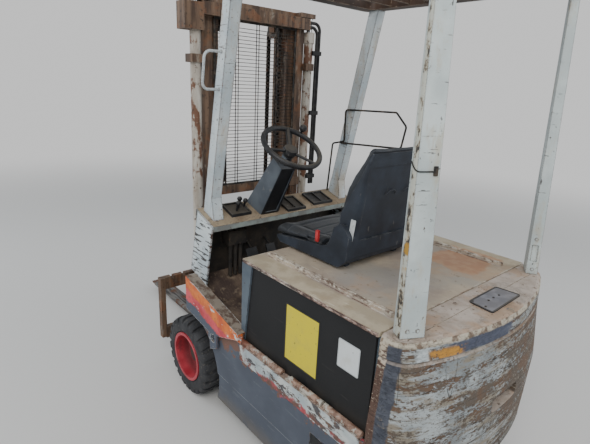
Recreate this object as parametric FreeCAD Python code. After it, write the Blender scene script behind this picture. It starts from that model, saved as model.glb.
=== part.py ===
import FreeCAD, Part
import math
import os

V = FreeCAD.Vector

# Frame: +X forward, +Y left, +Z up, millimetres. While it is modelled, X is measured from the
# front edge of the battery hood; the last step moves the origin to the middle of the footprint.

# Main widths
COWL_HALF = 500
ROOF_HALF = 470

# Wheels and axles
FRONT_AXLE_X = 465
WHEELBASE = 1135
REAR_AXLE_X = FRONT_AXLE_X - WHEELBASE
FRONT_TYRE_R = 220
FRONT_TYRE_W = 190
FRONT_TRACK_HALF = 470
REAR_TYRE_R = 190
REAR_TYRE_W = 120
REAR_TRACK_HALF = 440
KINGPIN_Y = REAR_TRACK_HALF - 115
KINGPIN_R = 14
RUN_CLEAR = 0.05
FRONT_RIM_R = 127
REAR_RIM_R = 102
RIM_WALL = 8
RIM_FLANGE = 8
FRONT_DISC_INSET = 92
REAR_DISC_INSET = 34
FRONT_STUB_R = 45
REAR_SPINDLE_R = 22
AXLE_TUBE_R = 62
BEAM_TOP = 88
MOUNT_REACH = 60
MOUNT_HALF = 90
FRAME_OUT_Y = FRONT_TRACK_HALF - FRONT_TYRE_W / 2 - 13
FRAME_T = 16
FRAME_TOP_Z = 580
LUG_IN_Y = FRAME_OUT_Y - 28

# Tyre tread: flats round the tyre, with a groove across each shoulder at every second flat
FRONT_FLAT_COUNT = 36
REAR_FLAT_COUNT = 32
SHOULDER_W = 14
SHOULDER_DROP = 18
GROOVE_W = 13
GROOVE_LENGTH = 54
GROOVE_DEPTH = 15
GROOVE_SLANT = 16
BEAD_GAP = 0.3
FLANGE_ROOM = 1
SIDEWALL_STEP = 7

# Body widths and levels
SIDE_FACE_Y = COWL_HALF + 40
SIDE_PLATE = 16
SIDE_BOTTOM_Z = 117
SIDE_TOP_Z = 540
CREASE_Z = 272
CREASE_DEPTH = 6
HOOD_HALF = COWL_HALF + 17
HOOD_LENGTH = WHEELBASE - 378
HOOD_REAR_X = -HOOD_LENGTH
HOOD_TOP_Z = 944
HOOD_SHEET = 14
BATTERY_PANEL_Y = HOOD_HALF - 8
PANEL_T = 12
TRAY_Z = 400
TRAY_T = 12
FLOOR_Z = 590
FLOOR_T = 8
TOE_FOOT_X = 300
TOE_TOP_Z = 690
FENDER_Y = COWL_HALF + 58
FENDER_T = 10
FENDER_TOP = ((-30, 595), (457, 706))  # rear and front end of the sloping top: x, z
FENDER_ARCH_R = FRONT_TYRE_R + 78
REAR_ARCH_R = REAR_TYRE_R + 78
REAR_ARCH_TOP_Z = 400

# Sill
SILL_BOTTOM_Z = 467
SILL_OUT = 7
SILL_LIP_Z = 565
SILL_LIP_INNER_Y = SIDE_FACE_Y - 24
SILL_LIPS = [  # front end, rear end
    (0, HOOD_REAR_X + 439), (HOOD_REAR_X + 389, HOOD_REAR_X + 205), (HOOD_REAR_X + 195, HOOD_REAR_X + 12)]

# Counterweight
CW_FRONT_X = HOOD_REAR_X - 5
CW_HALF = HOOD_HALF - 6
CW_REAR_X = CW_FRONT_X - 193
CW_CORNER_R = 84
CW_SECTIONS = [  # level, growth of the outline past the top edge's
    (HOOD_TOP_Z, -14), (938, -5), (926, 0), (872, 2), (864, -5), (856, 2), (600, 25), (340, 20), (290, 6)]
SEAM_B_X = CW_FRONT_X - 72
SEAM_GAP = 3
HITCH_SLOT_W = 190
HITCH_SLOT_H = 56
HITCH_SLOT_DEPTH = 85
HITCH_Z = 600
HITCH_PIN_R = 14
HITCH_PIN_INSET = 45
COVER_REACH = (-148, -43)  # rear and front edges, from the counterweight's front face
COVER_HALVES = (-150, 60)

# Overhead guard
GUARD_UNDER_Z = 2066
GUARD_TOP_Z = 2134
A_POST_FOOT = (391, COWL_HALF - 61, 1046)
A_POST_TOP = (190, ROOF_HALF - 25, 2037)
A_POST_SIZE = (60, 56)
A_POST_SINK = 30
A_POST_FLARE = 108
A_POST_FLARE_H = 90
GRAB_X = (264, 240)
GRAB_Z = (1640, 1795)
GRAB_SINK = 2
GRAB_FOOT_Y = (A_POST_FOOT[1] + A_POST_TOP[1] + A_POST_SIZE[1]) / 2 - GRAB_SINK
GRAB_REACH = 85
GRAB_R = 6
GRAB_BEND = 28
C_POST_FOOT = (CW_FRONT_X - 60, CW_HALF - 66)
C_POST_TOP = (CW_FRONT_X + 10, ROOF_HALF - 67)
C_POST_SIZE = (96, 42)
C_POST_TOP_SIZE = (72, 42)
C_POST_TURN = -45
ROOF_FRONT_X = 262
ROOF_REAR_X = C_POST_TOP[0] - 48
ROOF_RAIL_W = 62
ROOF_BAR_T = 10
ROOF_BARS = 7

# Cowl
COWL_REAR_X = 280
COWL_REAR_Z = 1006
COWL_FRONT_X = 442
COWL_FRONT_Z = 1060
COWL_SHEET = 8
COWL_LIP = 27
BULKHEAD_X = 448
COWL_LEG = [(423, 1054), (281, 1006), (348, 672), (505, 719)]

# Steering column and wheel
COLUMN_Y = 133
COLUMN_FOOT_HALF = 62
COLUMN_TOP_HALF = 48
COLUMN_CORNER_R = 10
COLUMN_PANEL_EDGE = 10
COLUMN_PANEL_DEPTH = 6
STEER_HUB = (150, 133, 1386)
STEER_TILT = 32
STEER_R = 160
STEER_RIM_R = 13

# Seat, on the hood
SEAT_Y = 30
SEAT_RAIL_H = 14
PAN_HALF = 235
PAN_WALL = 12
PAN_FRONT_X = 76
PAN_REAR_X = -378
PAN_FLOOR_T = 16
PAN_LIP_H = 32
LIP_ROOM = 2
WING_TOP_Z = 1152
CUSHION_HALF = 250
CUSHION_FRONT_X = 86
CUSHION_TOP_Z = 1036
SOFT_GAP = 0.3
BACK_HALF = 218
BACK_FRONT_X = -262
BACK_BOTTOM_Z = 1085
BACK_TOP_Z = 1472
SHELL_TOP_Z = 1440
SHELL_SECTIONS = [  # level, front face, rear face, half width
    (985, -300, -366, 212), (1102, -300, -378, 211), (1180, -300, -388, 210), (1232, -328, -396, 209),
    (1346, -384, -411, 202), (1412, -408, -420, 192), (SHELL_TOP_Z, -414, -426, 180)]
RECESS_BOTTOM_Z = 1075
RECESS_TOP_Z = 1385
RECESS_HALF = 178
RECESS_DEPTH = 5

# Mast
MAST_REAR_X = 640
MAST_PIVOT = (600, 230)
PIVOT_PIN_R = 20
RAIL_OUT_Y = FRAME_OUT_Y - 22
RAIL_DEPTH = 120
RAIL_WEB = 14
RAIL_FLANGE = 16
RAIL_W = 56
INNER_OUT_Y = RAIL_OUT_Y - 20
INNER_REAR_X = 664
INNER_DEPTH = 126
INNER_W = 88
INNER_WEB = 12
RAIL_I_LIP = 42
MAST_BOTTOM_Z = 78
INNER_BOTTOM_Z = 90
INNER_TOP_Z = 2075
INNER_HEAD_H = 45
HEAD_ARM_H = 24
HEAD_GAP = 6
OUTER_TOP_Z = INNER_TOP_Z - HEAD_ARM_H - HEAD_GAP
TOP_TIE_H = 60
TIE_OUT = 13
CYL_X = 640
CYL_Y = RAIL_OUT_Y + 38
CYL_R = 27
CYL_BOTTOM_Z = 430
CYL_TOP_Z = OUTER_TOP_Z - 70
GLAND_WALL = 6
CLAMP_WALL = 8
CLAMP_H = 40
CLAMP_REACH = {1: 38, -1: 20}  # the hoses run close outside the right one
CLAMP_LEVELS = (450, OUTER_TOP_Z - 285)
HEAD_BLOCK_Z = (OUTER_TOP_Z - 134, OUTER_TOP_Z - 9)
ROD_R = 16
PULLEY_Y = 186
PULLEY_R = 45
PULLEY_Z = INNER_TOP_Z - 100
PULLEY_X = 730
CHAIN_W = 24
CHAIN_T = 12
CHAIN_PLATES = 4
REAR_ANCHOR_TOP_Z = 1110
CHAIN_ANCHOR_Z = 430
MESH_BOTTOM_Z = 1112
MESH_TOP_Z = OUTER_TOP_Z - TOP_TIE_H
MESH_PITCH = 19
MESH_WIRE = 3.2
MESH_HALF = RAIL_OUT_Y - 70
MESH_VERTICALS = (0, 134, -134)
MESH_PAIR = 17
HOSE_X = 612
HOSE_R = 9
HOSE_YS = (-CYL_Y - 40, -CYL_Y - 60)

# Carriage and forks
CARRIAGE_X = 830
CARRIAGE_T = 32
CARRIAGE_HALF = 535
BAR_H = 76
LOWER_BAR_Z = 133
UPPER_BAR_TOP_Z = 540
END_PLATE_T = 30
FORK_Y = 135
FORK_W = 100
FORK_T = 36
FORK_LENGTH = 900
FORK_BOTTOM_Z = 40
NOTCH_PITCH = 76
NOTCH_W = 16
NOTCH_DEPTH = 12

# Tilt cylinders
TILT_Y = RAIL_OUT_Y - 28
TILT_BASE = (215, 430)
TILT_EYE = (612, 470)
TILT_BARREL_R = 32
TILT_ROD_R = 15
TILT_PIN_R = 11
EAR_T = 10

# Battery
BATTERY_FRONT_X = -60
BATTERY_LENGTH = HOOD_LENGTH - 127
BATTERY_HALF = COWL_HALF - 85
BATTERY_H = 465

FORK_TIP_X = CARRIAGE_X + CARRIAGE_T + FORK_T + FORK_LENGTH
REAR_MOST_X = CW_REAR_X - max(grow for level, grow in CW_SECTIONS)
X_SHIFT = -(FORK_TIP_X + REAR_MOST_X) / 2


def corner_path(points, radii, closed=False):
    """Edges along straight runs with a tangent arc of the given radius at each corner."""
    n = len(points)
    pts = [V(*p) for p in points]
    ins, outs, arcs = [], [], []
    for i in range(n):
        r = radii[i] if isinstance(radii, (list, tuple)) else radii
        inner = closed or 0 < i < n - 1
        if not inner or r <= 0:
            ins.append(pts[i])
            outs.append(pts[i])
            arcs.append(None)
            continue
        a = (pts[i - 1] - pts[i]).normalize()
        b = (pts[(i + 1) % n] - pts[i]).normalize()
        half = a.getAngle(b) / 2
        setback = r / math.tan(half)
        bisector = (a + b).normalize()
        centre = pts[i] + bisector * (r / math.sin(half))
        ins.append(pts[i] + a * setback)
        outs.append(pts[i] + b * setback)
        arcs.append(centre - bisector * r)
    edges = []
    count = n if closed else n - 1
    for i in range(n):
        if arcs[i] is not None:
            edges.append(Part.Arc(ins[i], arcs[i], outs[i]).toShape())
        if i < count:
            j = (i + 1) % n
            if (ins[j] - outs[i]).Length > 1e-6:
                edges.append(Part.LineSegment(outs[i], ins[j]).toShape())
    return edges


def outline(points, radii=0):
    return Part.Wire(corner_path(points, radii, closed=True))


def slab(points, radii, along):
    """A prism: a closed outline of 3-D points pushed along a vector."""
    return Part.Face(outline(points, radii)).extrude(V(*along))


def prism_xz(points, y0, y1, radii=0):
    return slab([(x, y0, z) for x, z in points], radii, (0, y1 - y0, 0))


def prism_xy(points, z0, z1, radii=0):
    return slab([(x, y, z0) for x, y in points], radii, (0, 0, z1 - z0))


def prism_yz(points, x0, x1, radii=0):
    return slab([(x0, y, z) for y, z in points], radii, (x1 - x0, 0, 0))


def box(x0, x1, y0, y1, z0, z1):
    return Part.makeBox(x1 - x0, y1 - y0, z1 - z0, V(x0, y0, z0))


def rod(start, end, r):
    a, b = V(*start), V(*end)
    return Part.makeCylinder(r, (b - a).Length, a, b - a)


def tube(start, end, r, wall):
    return rod(start, end, r).cut(rod(start, end, r - wall))


def bent_rod(points, r, radii):
    path = Part.Wire(corner_path(points, radii))
    a, b = V(*points[0]), V(*points[1])
    profile = Part.Wire(Part.makeCircle(r, a, b - a))
    return path.makePipeShell([profile], True, False)


def turned(profile, centre, axis=(0, 1, 0)):
    """A revolve about a line parallel to Y through the centre; the profile is (y offset, radius)."""
    cx, cy, cz = centre
    face = Part.Face(outline([(cx, cy + y, cz + r) for y, r in profile]))
    return face.revolve(V(cx, cy, cz), V(*axis), 360)


def mirrored(shape):
    return shape.mirror(V(0, 0, 0), V(0, 1, 0))


def pair(shape):
    return [shape, mirrored(shape)]


def fused(shapes):
    first = shapes[0]
    return first.fuse(list(shapes[1:])).removeSplitter() if len(shapes) > 1 else first


def cut_all(shape, tools):
    return shape.cut(list(tools)).removeSplitter()


def solids_of(items):
    found = []
    for item in items:
        found += item.Solids
    return found


def write(node, *items):
    solids = solids_of(items)
    shape = Part.Compound(solids) if len(solids) > 1 else solids[0]
    shape.translate(V(X_SHIFT, 0, 0))
    shape.exportStep(os.path.join("parts", node + ".step"))
    print(node, len(solids), "solids", round(shape.Volume / 1e6, 3), "litres")


def wells(margin=0):
    """The two round spaces in which the steered wheels swing."""
    tools = []
    for side in (1, -1):
        tools.append(rod((REAR_AXLE_X, side * KINGPIN_Y, -50),
                         (REAR_AXLE_X, side * KINGPIN_Y, REAR_ARCH_TOP_Z - margin), REAR_ARCH_R - margin))
    return tools


# Side panels: the lower body sides, with a crease and open wheel arches
def side_panels():
    inner = SIDE_FACE_Y - SIDE_PLATE
    section = [(inner - CREASE_DEPTH, SIDE_BOTTOM_Z), (SIDE_FACE_Y - CREASE_DEPTH, SIDE_BOTTOM_Z),
               (SIDE_FACE_Y - CREASE_DEPTH, CREASE_Z - CREASE_DEPTH), (SIDE_FACE_Y, CREASE_Z),
               (SIDE_FACE_Y, SIDE_TOP_Z), (inner, SIDE_TOP_Z), (inner, CREASE_Z),
               (inner - CREASE_DEPTH, CREASE_Z - CREASE_DEPTH)]
    plate = prism_yz(section, CW_FRONT_X, FRONT_AXLE_X)
    front_arch = rod((FRONT_AXLE_X, 0, FRONT_TYRE_R), (FRONT_AXLE_X, 700, FRONT_TYRE_R), FENDER_ARCH_R)
    below = box(199, FRONT_AXLE_X + 50, 400, 700, 0, FRONT_TYRE_R + 20)
    return pair(cut_all(plate, [front_arch, below] + wells()))


# Front fenders: a sloping top strip and an outer plate over the rear half of the wheel
def front_fenders():
    (x0, z0), (x1, z1) = FENDER_TOP
    slope = (z1 - z0) / (x1 - x0)
    plate = prism_xz([(x1, 520), (x1, z1), (x0, z0), (x0, 566), (150, 500), (150, 480)],
                     FENDER_Y - FENDER_T, FENDER_Y)
    arch = rod((FRONT_AXLE_X, 0, FRONT_TYRE_R), (FRONT_AXLE_X, 700, FRONT_TYRE_R), FENDER_ARCH_R)
    low = prism_xz([(232, 560), (150, 560), (150, 430), (212, 400)], FENDER_Y - FENDER_T, FENDER_Y)
    strip = prism_xz([(x1, z1), (x0, z0), (x0, z0 - FENDER_T), (x1, z1 - FENDER_T)], COWL_HALF,
                     FENDER_Y - FENDER_T)
    under, foot = z0 - FENDER_T, SIDE_TOP_Z + 1
    inner = prism_xz([(x1, z1 - FENDER_T), (2, under + slope * (2 - x0)), (2, foot), (240, foot),
                      (300, 500), (x1, 520)],
                     COWL_HALF, COWL_HALF + FENDER_T)
    web = prism_xz([(200, foot), (x0, foot), (x0, under), (200, under + slope * (200 - x0))],
                   SIDE_FACE_Y - SIDE_PLATE, SIDE_FACE_Y)
    body = fused([plate, low, strip, inner.cut(arch), web])
    pillar_room = box(-40, 1, 0, HOOD_HALF + 0.5, 500, 620)
    hole = prism_xz([(172, 450), (204, 450), (204, 492), (172, 492)], FENDER_Y - FENDER_T - 2, FENDER_Y + 2,
                    10)
    return pair(body.cut([arch, pillar_room, hole]))


# Sills: the strip over the side panel's top edge, with its rolled lip in three lengths
def sills():
    lip_r = (SIDE_FACE_Y - SILL_LIP_INNER_Y) / 2
    pieces = []
    strip = box(SILL_LIPS[-1][1], -32, SIDE_FACE_Y, SIDE_FACE_Y + SILL_OUT, SILL_BOTTOM_Z, SIDE_TOP_Z)
    base = box(SILL_LIPS[-1][1], -32, SILL_LIP_INNER_Y, SIDE_FACE_Y + SILL_OUT, SIDE_TOP_Z, SIDE_TOP_Z + 8)
    pieces += [strip, base]
    for front, rear in SILL_LIPS:
        front = min(front, -32)
        pieces.append(rod((rear, SIDE_FACE_Y - lip_r, SILL_LIP_Z - lip_r),
                          (front, SIDE_FACE_Y - lip_r, SILL_LIP_Z - lip_r), lip_r))
        pieces.append(box(rear, front, SIDE_FACE_Y - 2 * lip_r, SIDE_FACE_Y, SIDE_TOP_Z + 8,
                          SILL_LIP_Z - lip_r))
    return pair(fused(pieces))


# Battery box: tray, front wall with its tapered pillars, rear wall
def battery_box():
    rear = HOOD_REAR_X + SEAM_GAP
    wall_y = BATTERY_PANEL_Y - PANEL_T
    side_y = SIDE_FACE_Y - SIDE_PLATE
    top = HOOD_TOP_Z - HOOD_SHEET
    tray = box(rear, 0, -side_y, side_y, TRAY_Z, TRAY_Z + TRAY_T)
    front = box(-PANEL_T, 0, -wall_y, wall_y, TRAY_Z + TRAY_T, top)
    back = box(rear, rear + PANEL_T, -wall_y, wall_y, TRAY_Z + TRAY_T, top)
    pillar = prism_xz([(0, 541), (0, top), (-72, top), (-22, 541)], BATTERY_PANEL_Y - PANEL_T, HOOD_HALF)
    mid = prism_xz([(0, 541), (0, top), (-12, top), (-12, 541)], wall_y - 1, HOOD_HALF)
    return fused([tray, front, back] + pair(pillar) + pair(mid))


def battery_panels():
    top = HOOD_TOP_Z - HOOD_SHEET
    panel = prism_xz([(-20, TRAY_Z + TRAY_T), (-22, 541), (-72.5, top), (HOOD_REAR_X + 12, top),
                      (HOOD_REAR_X + 12, TRAY_Z + TRAY_T)],
                     BATTERY_PANEL_Y - PANEL_T, BATTERY_PANEL_Y)
    return pair(panel)


def battery():
    z0 = TRAY_Z + TRAY_T
    return box(BATTERY_FRONT_X - BATTERY_LENGTH, BATTERY_FRONT_X, -BATTERY_HALF, BATTERY_HALF, z0,
               z0 + BATTERY_H)


# Counterweight: a loft through outlines with round corners and a curved rear
def cw_outline(z, grow):
    half = CW_HALF + grow
    rear = CW_REAR_X - grow
    corner_x = CW_FRONT_X - 25
    shoulder = (rear + 86, half - CW_CORNER_R + 10)
    diagonal = 0.7071
    mid = ((corner_x + shoulder[0]) / 2 - 14, (half + shoulder[1]) / 2 + 14 * diagonal)
    pts = [V(CW_FRONT_X, half, z), V(corner_x, half, z), V(mid[0], mid[1], z), V(shoulder[0], shoulder[1], z),
           V(rear, 0, z)]
    m = [V(p.x, -p.y, p.z) for p in pts]
    edges = [Part.LineSegment(pts[0], pts[1]).toShape(), Part.Arc(pts[1], pts[2], pts[3]).toShape(),
             Part.Arc(pts[3], pts[4], m[3]).toShape(), Part.Arc(m[3], m[2], m[1]).toShape(),
             Part.LineSegment(m[1], m[0]).toShape(), Part.LineSegment(m[0], pts[0]).toShape()]
    return Part.Wire(edges)


def counterweight():
    wires = [cw_outline(z, grow) for z, grow in CW_SECTIONS]
    body = Part.makeLoft(wires, True, True)
    rear = REAR_MOST_X
    slot = prism_yz([(-HITCH_SLOT_W / 2, HITCH_Z - HITCH_SLOT_H / 2),
                     (HITCH_SLOT_W / 2, HITCH_Z - HITCH_SLOT_H / 2),
                     (HITCH_SLOT_W / 2, HITCH_Z + HITCH_SLOT_H / 2),
                     (-HITCH_SLOT_W / 2, HITCH_Z + HITCH_SLOT_H / 2)],
                    rear - 20, rear + HITCH_SLOT_DEPTH, HITCH_SLOT_H / 3)
    pin_x = rear + HITCH_PIN_INSET
    bore = rod((pin_x, 0, HITCH_Z - 90), (pin_x, 0, HOOD_TOP_Z + 30), HITCH_PIN_R + RUN_CLEAR)
    seam = box(SEAM_B_X - SEAM_GAP, SEAM_B_X, -CW_HALF, CW_HALF, HOOD_TOP_Z - SEAM_GAP, HOOD_TOP_Z + 5)
    return body.cut([slot, bore, seam] + wells())


def hitch_pin():
    """The pin that drops through the slot from above, with its head."""
    pin_x = REAR_MOST_X + HITCH_PIN_INSET
    shaft = rod((pin_x, 0, HITCH_Z - 88), (pin_x, 0, HOOD_TOP_Z + 12), HITCH_PIN_R)
    head = rod((pin_x, 0, HOOD_TOP_Z + 6), (pin_x, 0, HOOD_TOP_Z + 20), HITCH_PIN_R + 9)
    return fused([shaft, head])


def cover_plate():
    rear, front = (CW_FRONT_X + reach for reach in COVER_REACH)
    y0, y1 = COVER_HALVES
    return prism_xy([(rear, y0), (front, y0), (front, y1), (rear, y1)], HOOD_TOP_Z + 0.3, HOOD_TOP_Z + 6, 8)


# Floor and main frame
def floor_plate():
    half = COWL_HALF - 1
    profile = [(2, FLOOR_Z), (TOE_FOOT_X, FLOOR_Z), (BULKHEAD_X, TOE_TOP_Z),
               (BULKHEAD_X, TOE_TOP_Z - FLOOR_T),
               (TOE_FOOT_X + 3, FLOOR_Z - FLOOR_T), (2, FLOOR_Z - FLOOR_T)]
    return prism_xz(profile, -half, half)


def main_frame():
    x0 = 0
    plate = prism_xz([(x0, 180), (400, 150), (560, 150), (640, 205), (640, 255), (560, 300), (520, 430),
                      (BULKHEAD_X + 8, FRAME_TOP_Z), (x0, FRAME_TOP_Z)], FRAME_OUT_Y - FRAME_T, FRAME_OUT_Y,
                      [0, 0, 30, 20, 20, 30, 30, 0, 0])
    y0, y1 = FRAME_OUT_Y - 40, FRAME_OUT_Y + 20
    plate = plate.cut([rod((FRONT_AXLE_X, y0, FRONT_TYRE_R), (FRONT_AXLE_X, y1, FRONT_TYRE_R), AXLE_TUBE_R),
                       rod((MAST_PIVOT[0], y0, MAST_PIVOT[1]), (MAST_PIVOT[0], y1, MAST_PIVOT[1]),
                           PIVOT_PIN_R + RUN_CLEAR)])
    half = FRAME_OUT_Y - 12
    cross = box(x0, x0 + 12, -half, half, 185, TRAY_Z)
    bulkhead = box(BULKHEAD_X, BULKHEAD_X + 8, -half, half, 365, FRAME_TOP_Z - 2)
    bulkhead = bulkhead.cut([box(BULKHEAD_X - 5, BULKHEAD_X + 15, min(s * (half - 88), s * (half - 4)),
                                 max(s * (half - 88), s * (half - 4)), 395, 515)
                             for s in (1, -1)])
    lug = prism_xz([(x0 + 6, 380), (TILT_BASE[0] + 18, TILT_BASE[1] - 18),
                    (TILT_BASE[0] + 22, TILT_BASE[1] + 10),
                    (TILT_BASE[0] - 10, TILT_BASE[1] + 24), (x0 + 6, 480)], LUG_IN_Y, LUG_IN_Y + 16,
                    [0, 12, 12, 12, 0])
    return fused([fused(pair(plate)), cross, bulkhead] + pair(lug))


def upper_bulkhead():
    """The wall in front of the driver's feet, with the valve block and its pipes on it."""
    wall = box(BULKHEAD_X, BULKHEAD_X + 8, -COWL_HALF + 10, COWL_HALF - 10, 580.3, COWL_FRONT_Z - 60)
    block = box(BULKHEAD_X - 74, BULKHEAD_X, 235, 345, 850, 925)
    shapes = [wall, block]
    for y in (258, 290, 322):
        x = BULKHEAD_X - 48
        shapes.append(rod((x, y, 925), (x, y, 948), 13))
        shapes.append(rod((x, y, 850), (x, y, floor_top_z(x) + 0.3 + 11), 11))
        shapes.append(rod((x, y, 832), (x, y, 850), 14))
    return fused(shapes)


def floor_top_z(x):
    """The level of the sloping toe board."""
    return FLOOR_Z + (TOE_TOP_Z - FLOOR_Z) * (x - TOE_FOOT_X) / (BULKHEAD_X - TOE_FOOT_X)


# Cowl: the beam that carries the column, and the two leaning leg plates
def cowl_beam():
    z0, z1 = COWL_REAR_Z, COWL_FRONT_Z
    t = COWL_SHEET
    profile = [(COWL_REAR_X, z0 - COWL_LIP), (COWL_REAR_X + t, z0 - COWL_LIP), (COWL_REAR_X + t, z0 - t),
               (COWL_FRONT_X - 6, z1 - t - 6), (BULKHEAD_X, z1 - 16), (BULKHEAD_X, z1 - 60),
               (BULKHEAD_X + 8, z1 - 60),
               (BULKHEAD_X + 8, z1 - 8), (COWL_FRONT_X, z1), (COWL_REAR_X, z0)]
    return prism_xz(profile, -COWL_HALF + 8, COWL_HALF - 8)


def cowl_legs():
    leg = prism_xz(COWL_LEG, COWL_HALF - 8, COWL_HALF)
    return pair(leg)


# Overhead guard
def post(foot, top, foot_size, top_size, turn=0):
    """A box post lofted between two rectangles turned about Z."""
    wires = []
    for (x, y, z), (w, d) in ((foot, foot_size), (top, top_size)):
        c, s = math.cos(math.radians(turn)), math.sin(math.radians(turn))
        corners = [(-w / 2, -d / 2), (w / 2, -d / 2), (w / 2, d / 2), (-w / 2, d / 2)]
        wires.append(outline([(x + c * a - s * b, y + s * a + c * b, z) for a, b in corners]))
    return Part.makeLoft(wires, True, True)


def front_posts():
    x0, y0, z0 = A_POST_FOOT
    x1, y1, z1 = A_POST_TOP
    top_z = GUARD_UNDER_Z
    share = (top_z - z0) / (z1 - z0)
    top = (x0 + (x1 - x0) * share, y0 + (y1 - y0) * share, top_z)
    seat = cowl_top_z(x0)
    body = post((x0 + 4, y0, seat - A_POST_SINK), top, A_POST_SIZE, A_POST_SIZE)
    flare_share = A_POST_FLARE_H / (z1 - z0)
    upper = (x0 + (x1 - x0) * flare_share, y0, z0 + A_POST_FLARE_H)
    foot = post((x0 - 18, y0, seat - 40), upper, (A_POST_FLARE, A_POST_SIZE[1]), A_POST_SIZE)
    whole = body.fuse(foot)
    rear, front = COWL_REAR_X - 50, COWL_FRONT_X + 90
    below = prism_xz([(rear, cowl_top_z(rear)), (COWL_FRONT_X, COWL_FRONT_Z), (front, COWL_FRONT_Z),
                      (front, 900), (rear, 900)],
                     y0 - 100, y0 + 100)
    whole = whole.cut(below).removeSplitter()
    right = mirrored(max(whole.Solids, key=lambda s: s.Volume))
    (x_a, x_b), (z_a, z_b), y_out = GRAB_X, GRAB_Z, GRAB_FOOT_Y + GRAB_REACH
    grab = bent_rod([(x_a, GRAB_FOOT_Y, z_a), (x_a, y_out, z_a), (x_b, y_out, z_b), (x_b, GRAB_FOOT_Y, z_b)],
                    GRAB_R, [0, GRAB_BEND, GRAB_BEND, 0])
    return [fused([mirrored(right), grab]), right]


def cowl_top_z(x):
    return COWL_REAR_Z + (COWL_FRONT_Z - COWL_REAR_Z) * (x - COWL_REAR_X) / (COWL_FRONT_X - COWL_REAR_X)


def rear_posts():
    foot, top = (*C_POST_FOOT, HOOD_TOP_Z), (*C_POST_TOP, GUARD_UNDER_Z)
    return pair(post(foot, top, C_POST_SIZE, C_POST_TOP_SIZE, C_POST_TURN))


def guard_roof():
    z0, z1 = GUARD_UNDER_Z, GUARD_TOP_Z
    outer = [(ROOF_FRONT_X, -ROOF_HALF), (ROOF_FRONT_X, ROOF_HALF), (ROOF_REAR_X, ROOF_HALF),
             (ROOF_REAR_X, -ROOF_HALF)]
    w = ROOF_RAIL_W
    inner = [(ROOF_FRONT_X - w - 10, -ROOF_HALF + w), (ROOF_FRONT_X - w - 10, ROOF_HALF - w),
             (ROOF_REAR_X + w, ROOF_HALF - w), (ROOF_REAR_X + w, -ROOF_HALF + w)]
    ring = prism_xy(outer, z0, z1, 60).cut(prism_xy(inner, z0 - 5, z1 + 5, 30))
    span = (inner[0][0] - inner[2][0])
    bars = []
    for i in range(ROOF_BARS):
        x = inner[2][0] + span * (i + 1) / (ROOF_BARS + 1)
        bars.append(box(x - ROOF_BAR_T / 2, x + ROOF_BAR_T / 2, -ROOF_HALF + w - 5, ROOF_HALF - w + 5,
                        z0 + 8, z1 - 8))
    return fused([ring] + bars)


# Steering column, wheel and controls
def along_column(distance, across=0.0):
    """A point of the column's middle plane: distance up its axis from the wheel's centre, and across it."""
    a = math.radians(STEER_TILT)
    x, y, z = STEER_HUB
    return (x - math.sin(a) * distance + math.cos(a) * across,
            z + math.cos(a) * distance + math.sin(a) * across)


def steering_column():
    rear_x = 306
    top = [along_column(-98, across) for across in (-46, 46)]
    foot = [(rear_x, cowl_top_z(rear_x)), (COWL_FRONT_X, COWL_FRONT_Z)]
    wires = []
    for (rear, front), half in ((foot, COLUMN_FOOT_HALF), (top, COLUMN_TOP_HALF)):
        corners = [(rear, -half), (front, -half), (front, half), (rear, half)]
        wires.append(outline([(x, COLUMN_Y + y, z) for (x, z), y in corners], COLUMN_CORNER_R))
    housing = Part.makeLoft(wires, True, True)
    # The driver's side is a sunk panel between two edges
    (x0, z0), (x1, z1) = foot[0], top[0]
    length = math.hypot(x1 - x0, z1 - z0)
    ux, uz = (x1 - x0) / length, (z1 - z0) / length
    sunk = [(x0 + ux * d + uz * n, z0 + uz * d - ux * n)
            for d, n in ((14, -20), (length - 16, -20), (length - 16, COLUMN_PANEL_DEPTH),
                         (14, COLUMN_PANEL_DEPTH))]
    edge = COLUMN_TOP_HALF - COLUMN_PANEL_EDGE
    housing = housing.cut(prism_xz(sunk, COLUMN_Y - edge, COLUMN_Y + edge))
    a, b = along_column(-110), along_column(-52)
    neck = rod((a[0], COLUMN_Y, a[1]), (b[0], COLUMN_Y, b[1]), 26)
    c, d = along_column(-60), along_column(-22)
    shaft = rod((c[0], COLUMN_Y, c[1]), (d[0], COLUMN_Y, d[1]), 10)
    return fused([housing, neck, shaft])


def lathe(profile, centre, axis_tilt):
    """A revolve about a line that leans back from upright; the profile is (radius, height) about its centre."""
    shape = Part.Face(outline([(r, 0, h) for r, h in profile])).revolve(V(0, 0, 0), V(0, 0, 1), 360)
    shape.rotate(V(0, 0, 0), V(0, 1, 0), -axis_tilt)
    shape.translate(centre)
    return shape


def round_section(r, sides, mid=0):
    """Points of a round section, as (distance from the axis, height)."""
    return [(mid + r * math.cos(i * 2 * math.pi / sides),
             r * math.sin(i * 2 * math.pi / sides)) for i in range(sides)]


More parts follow.
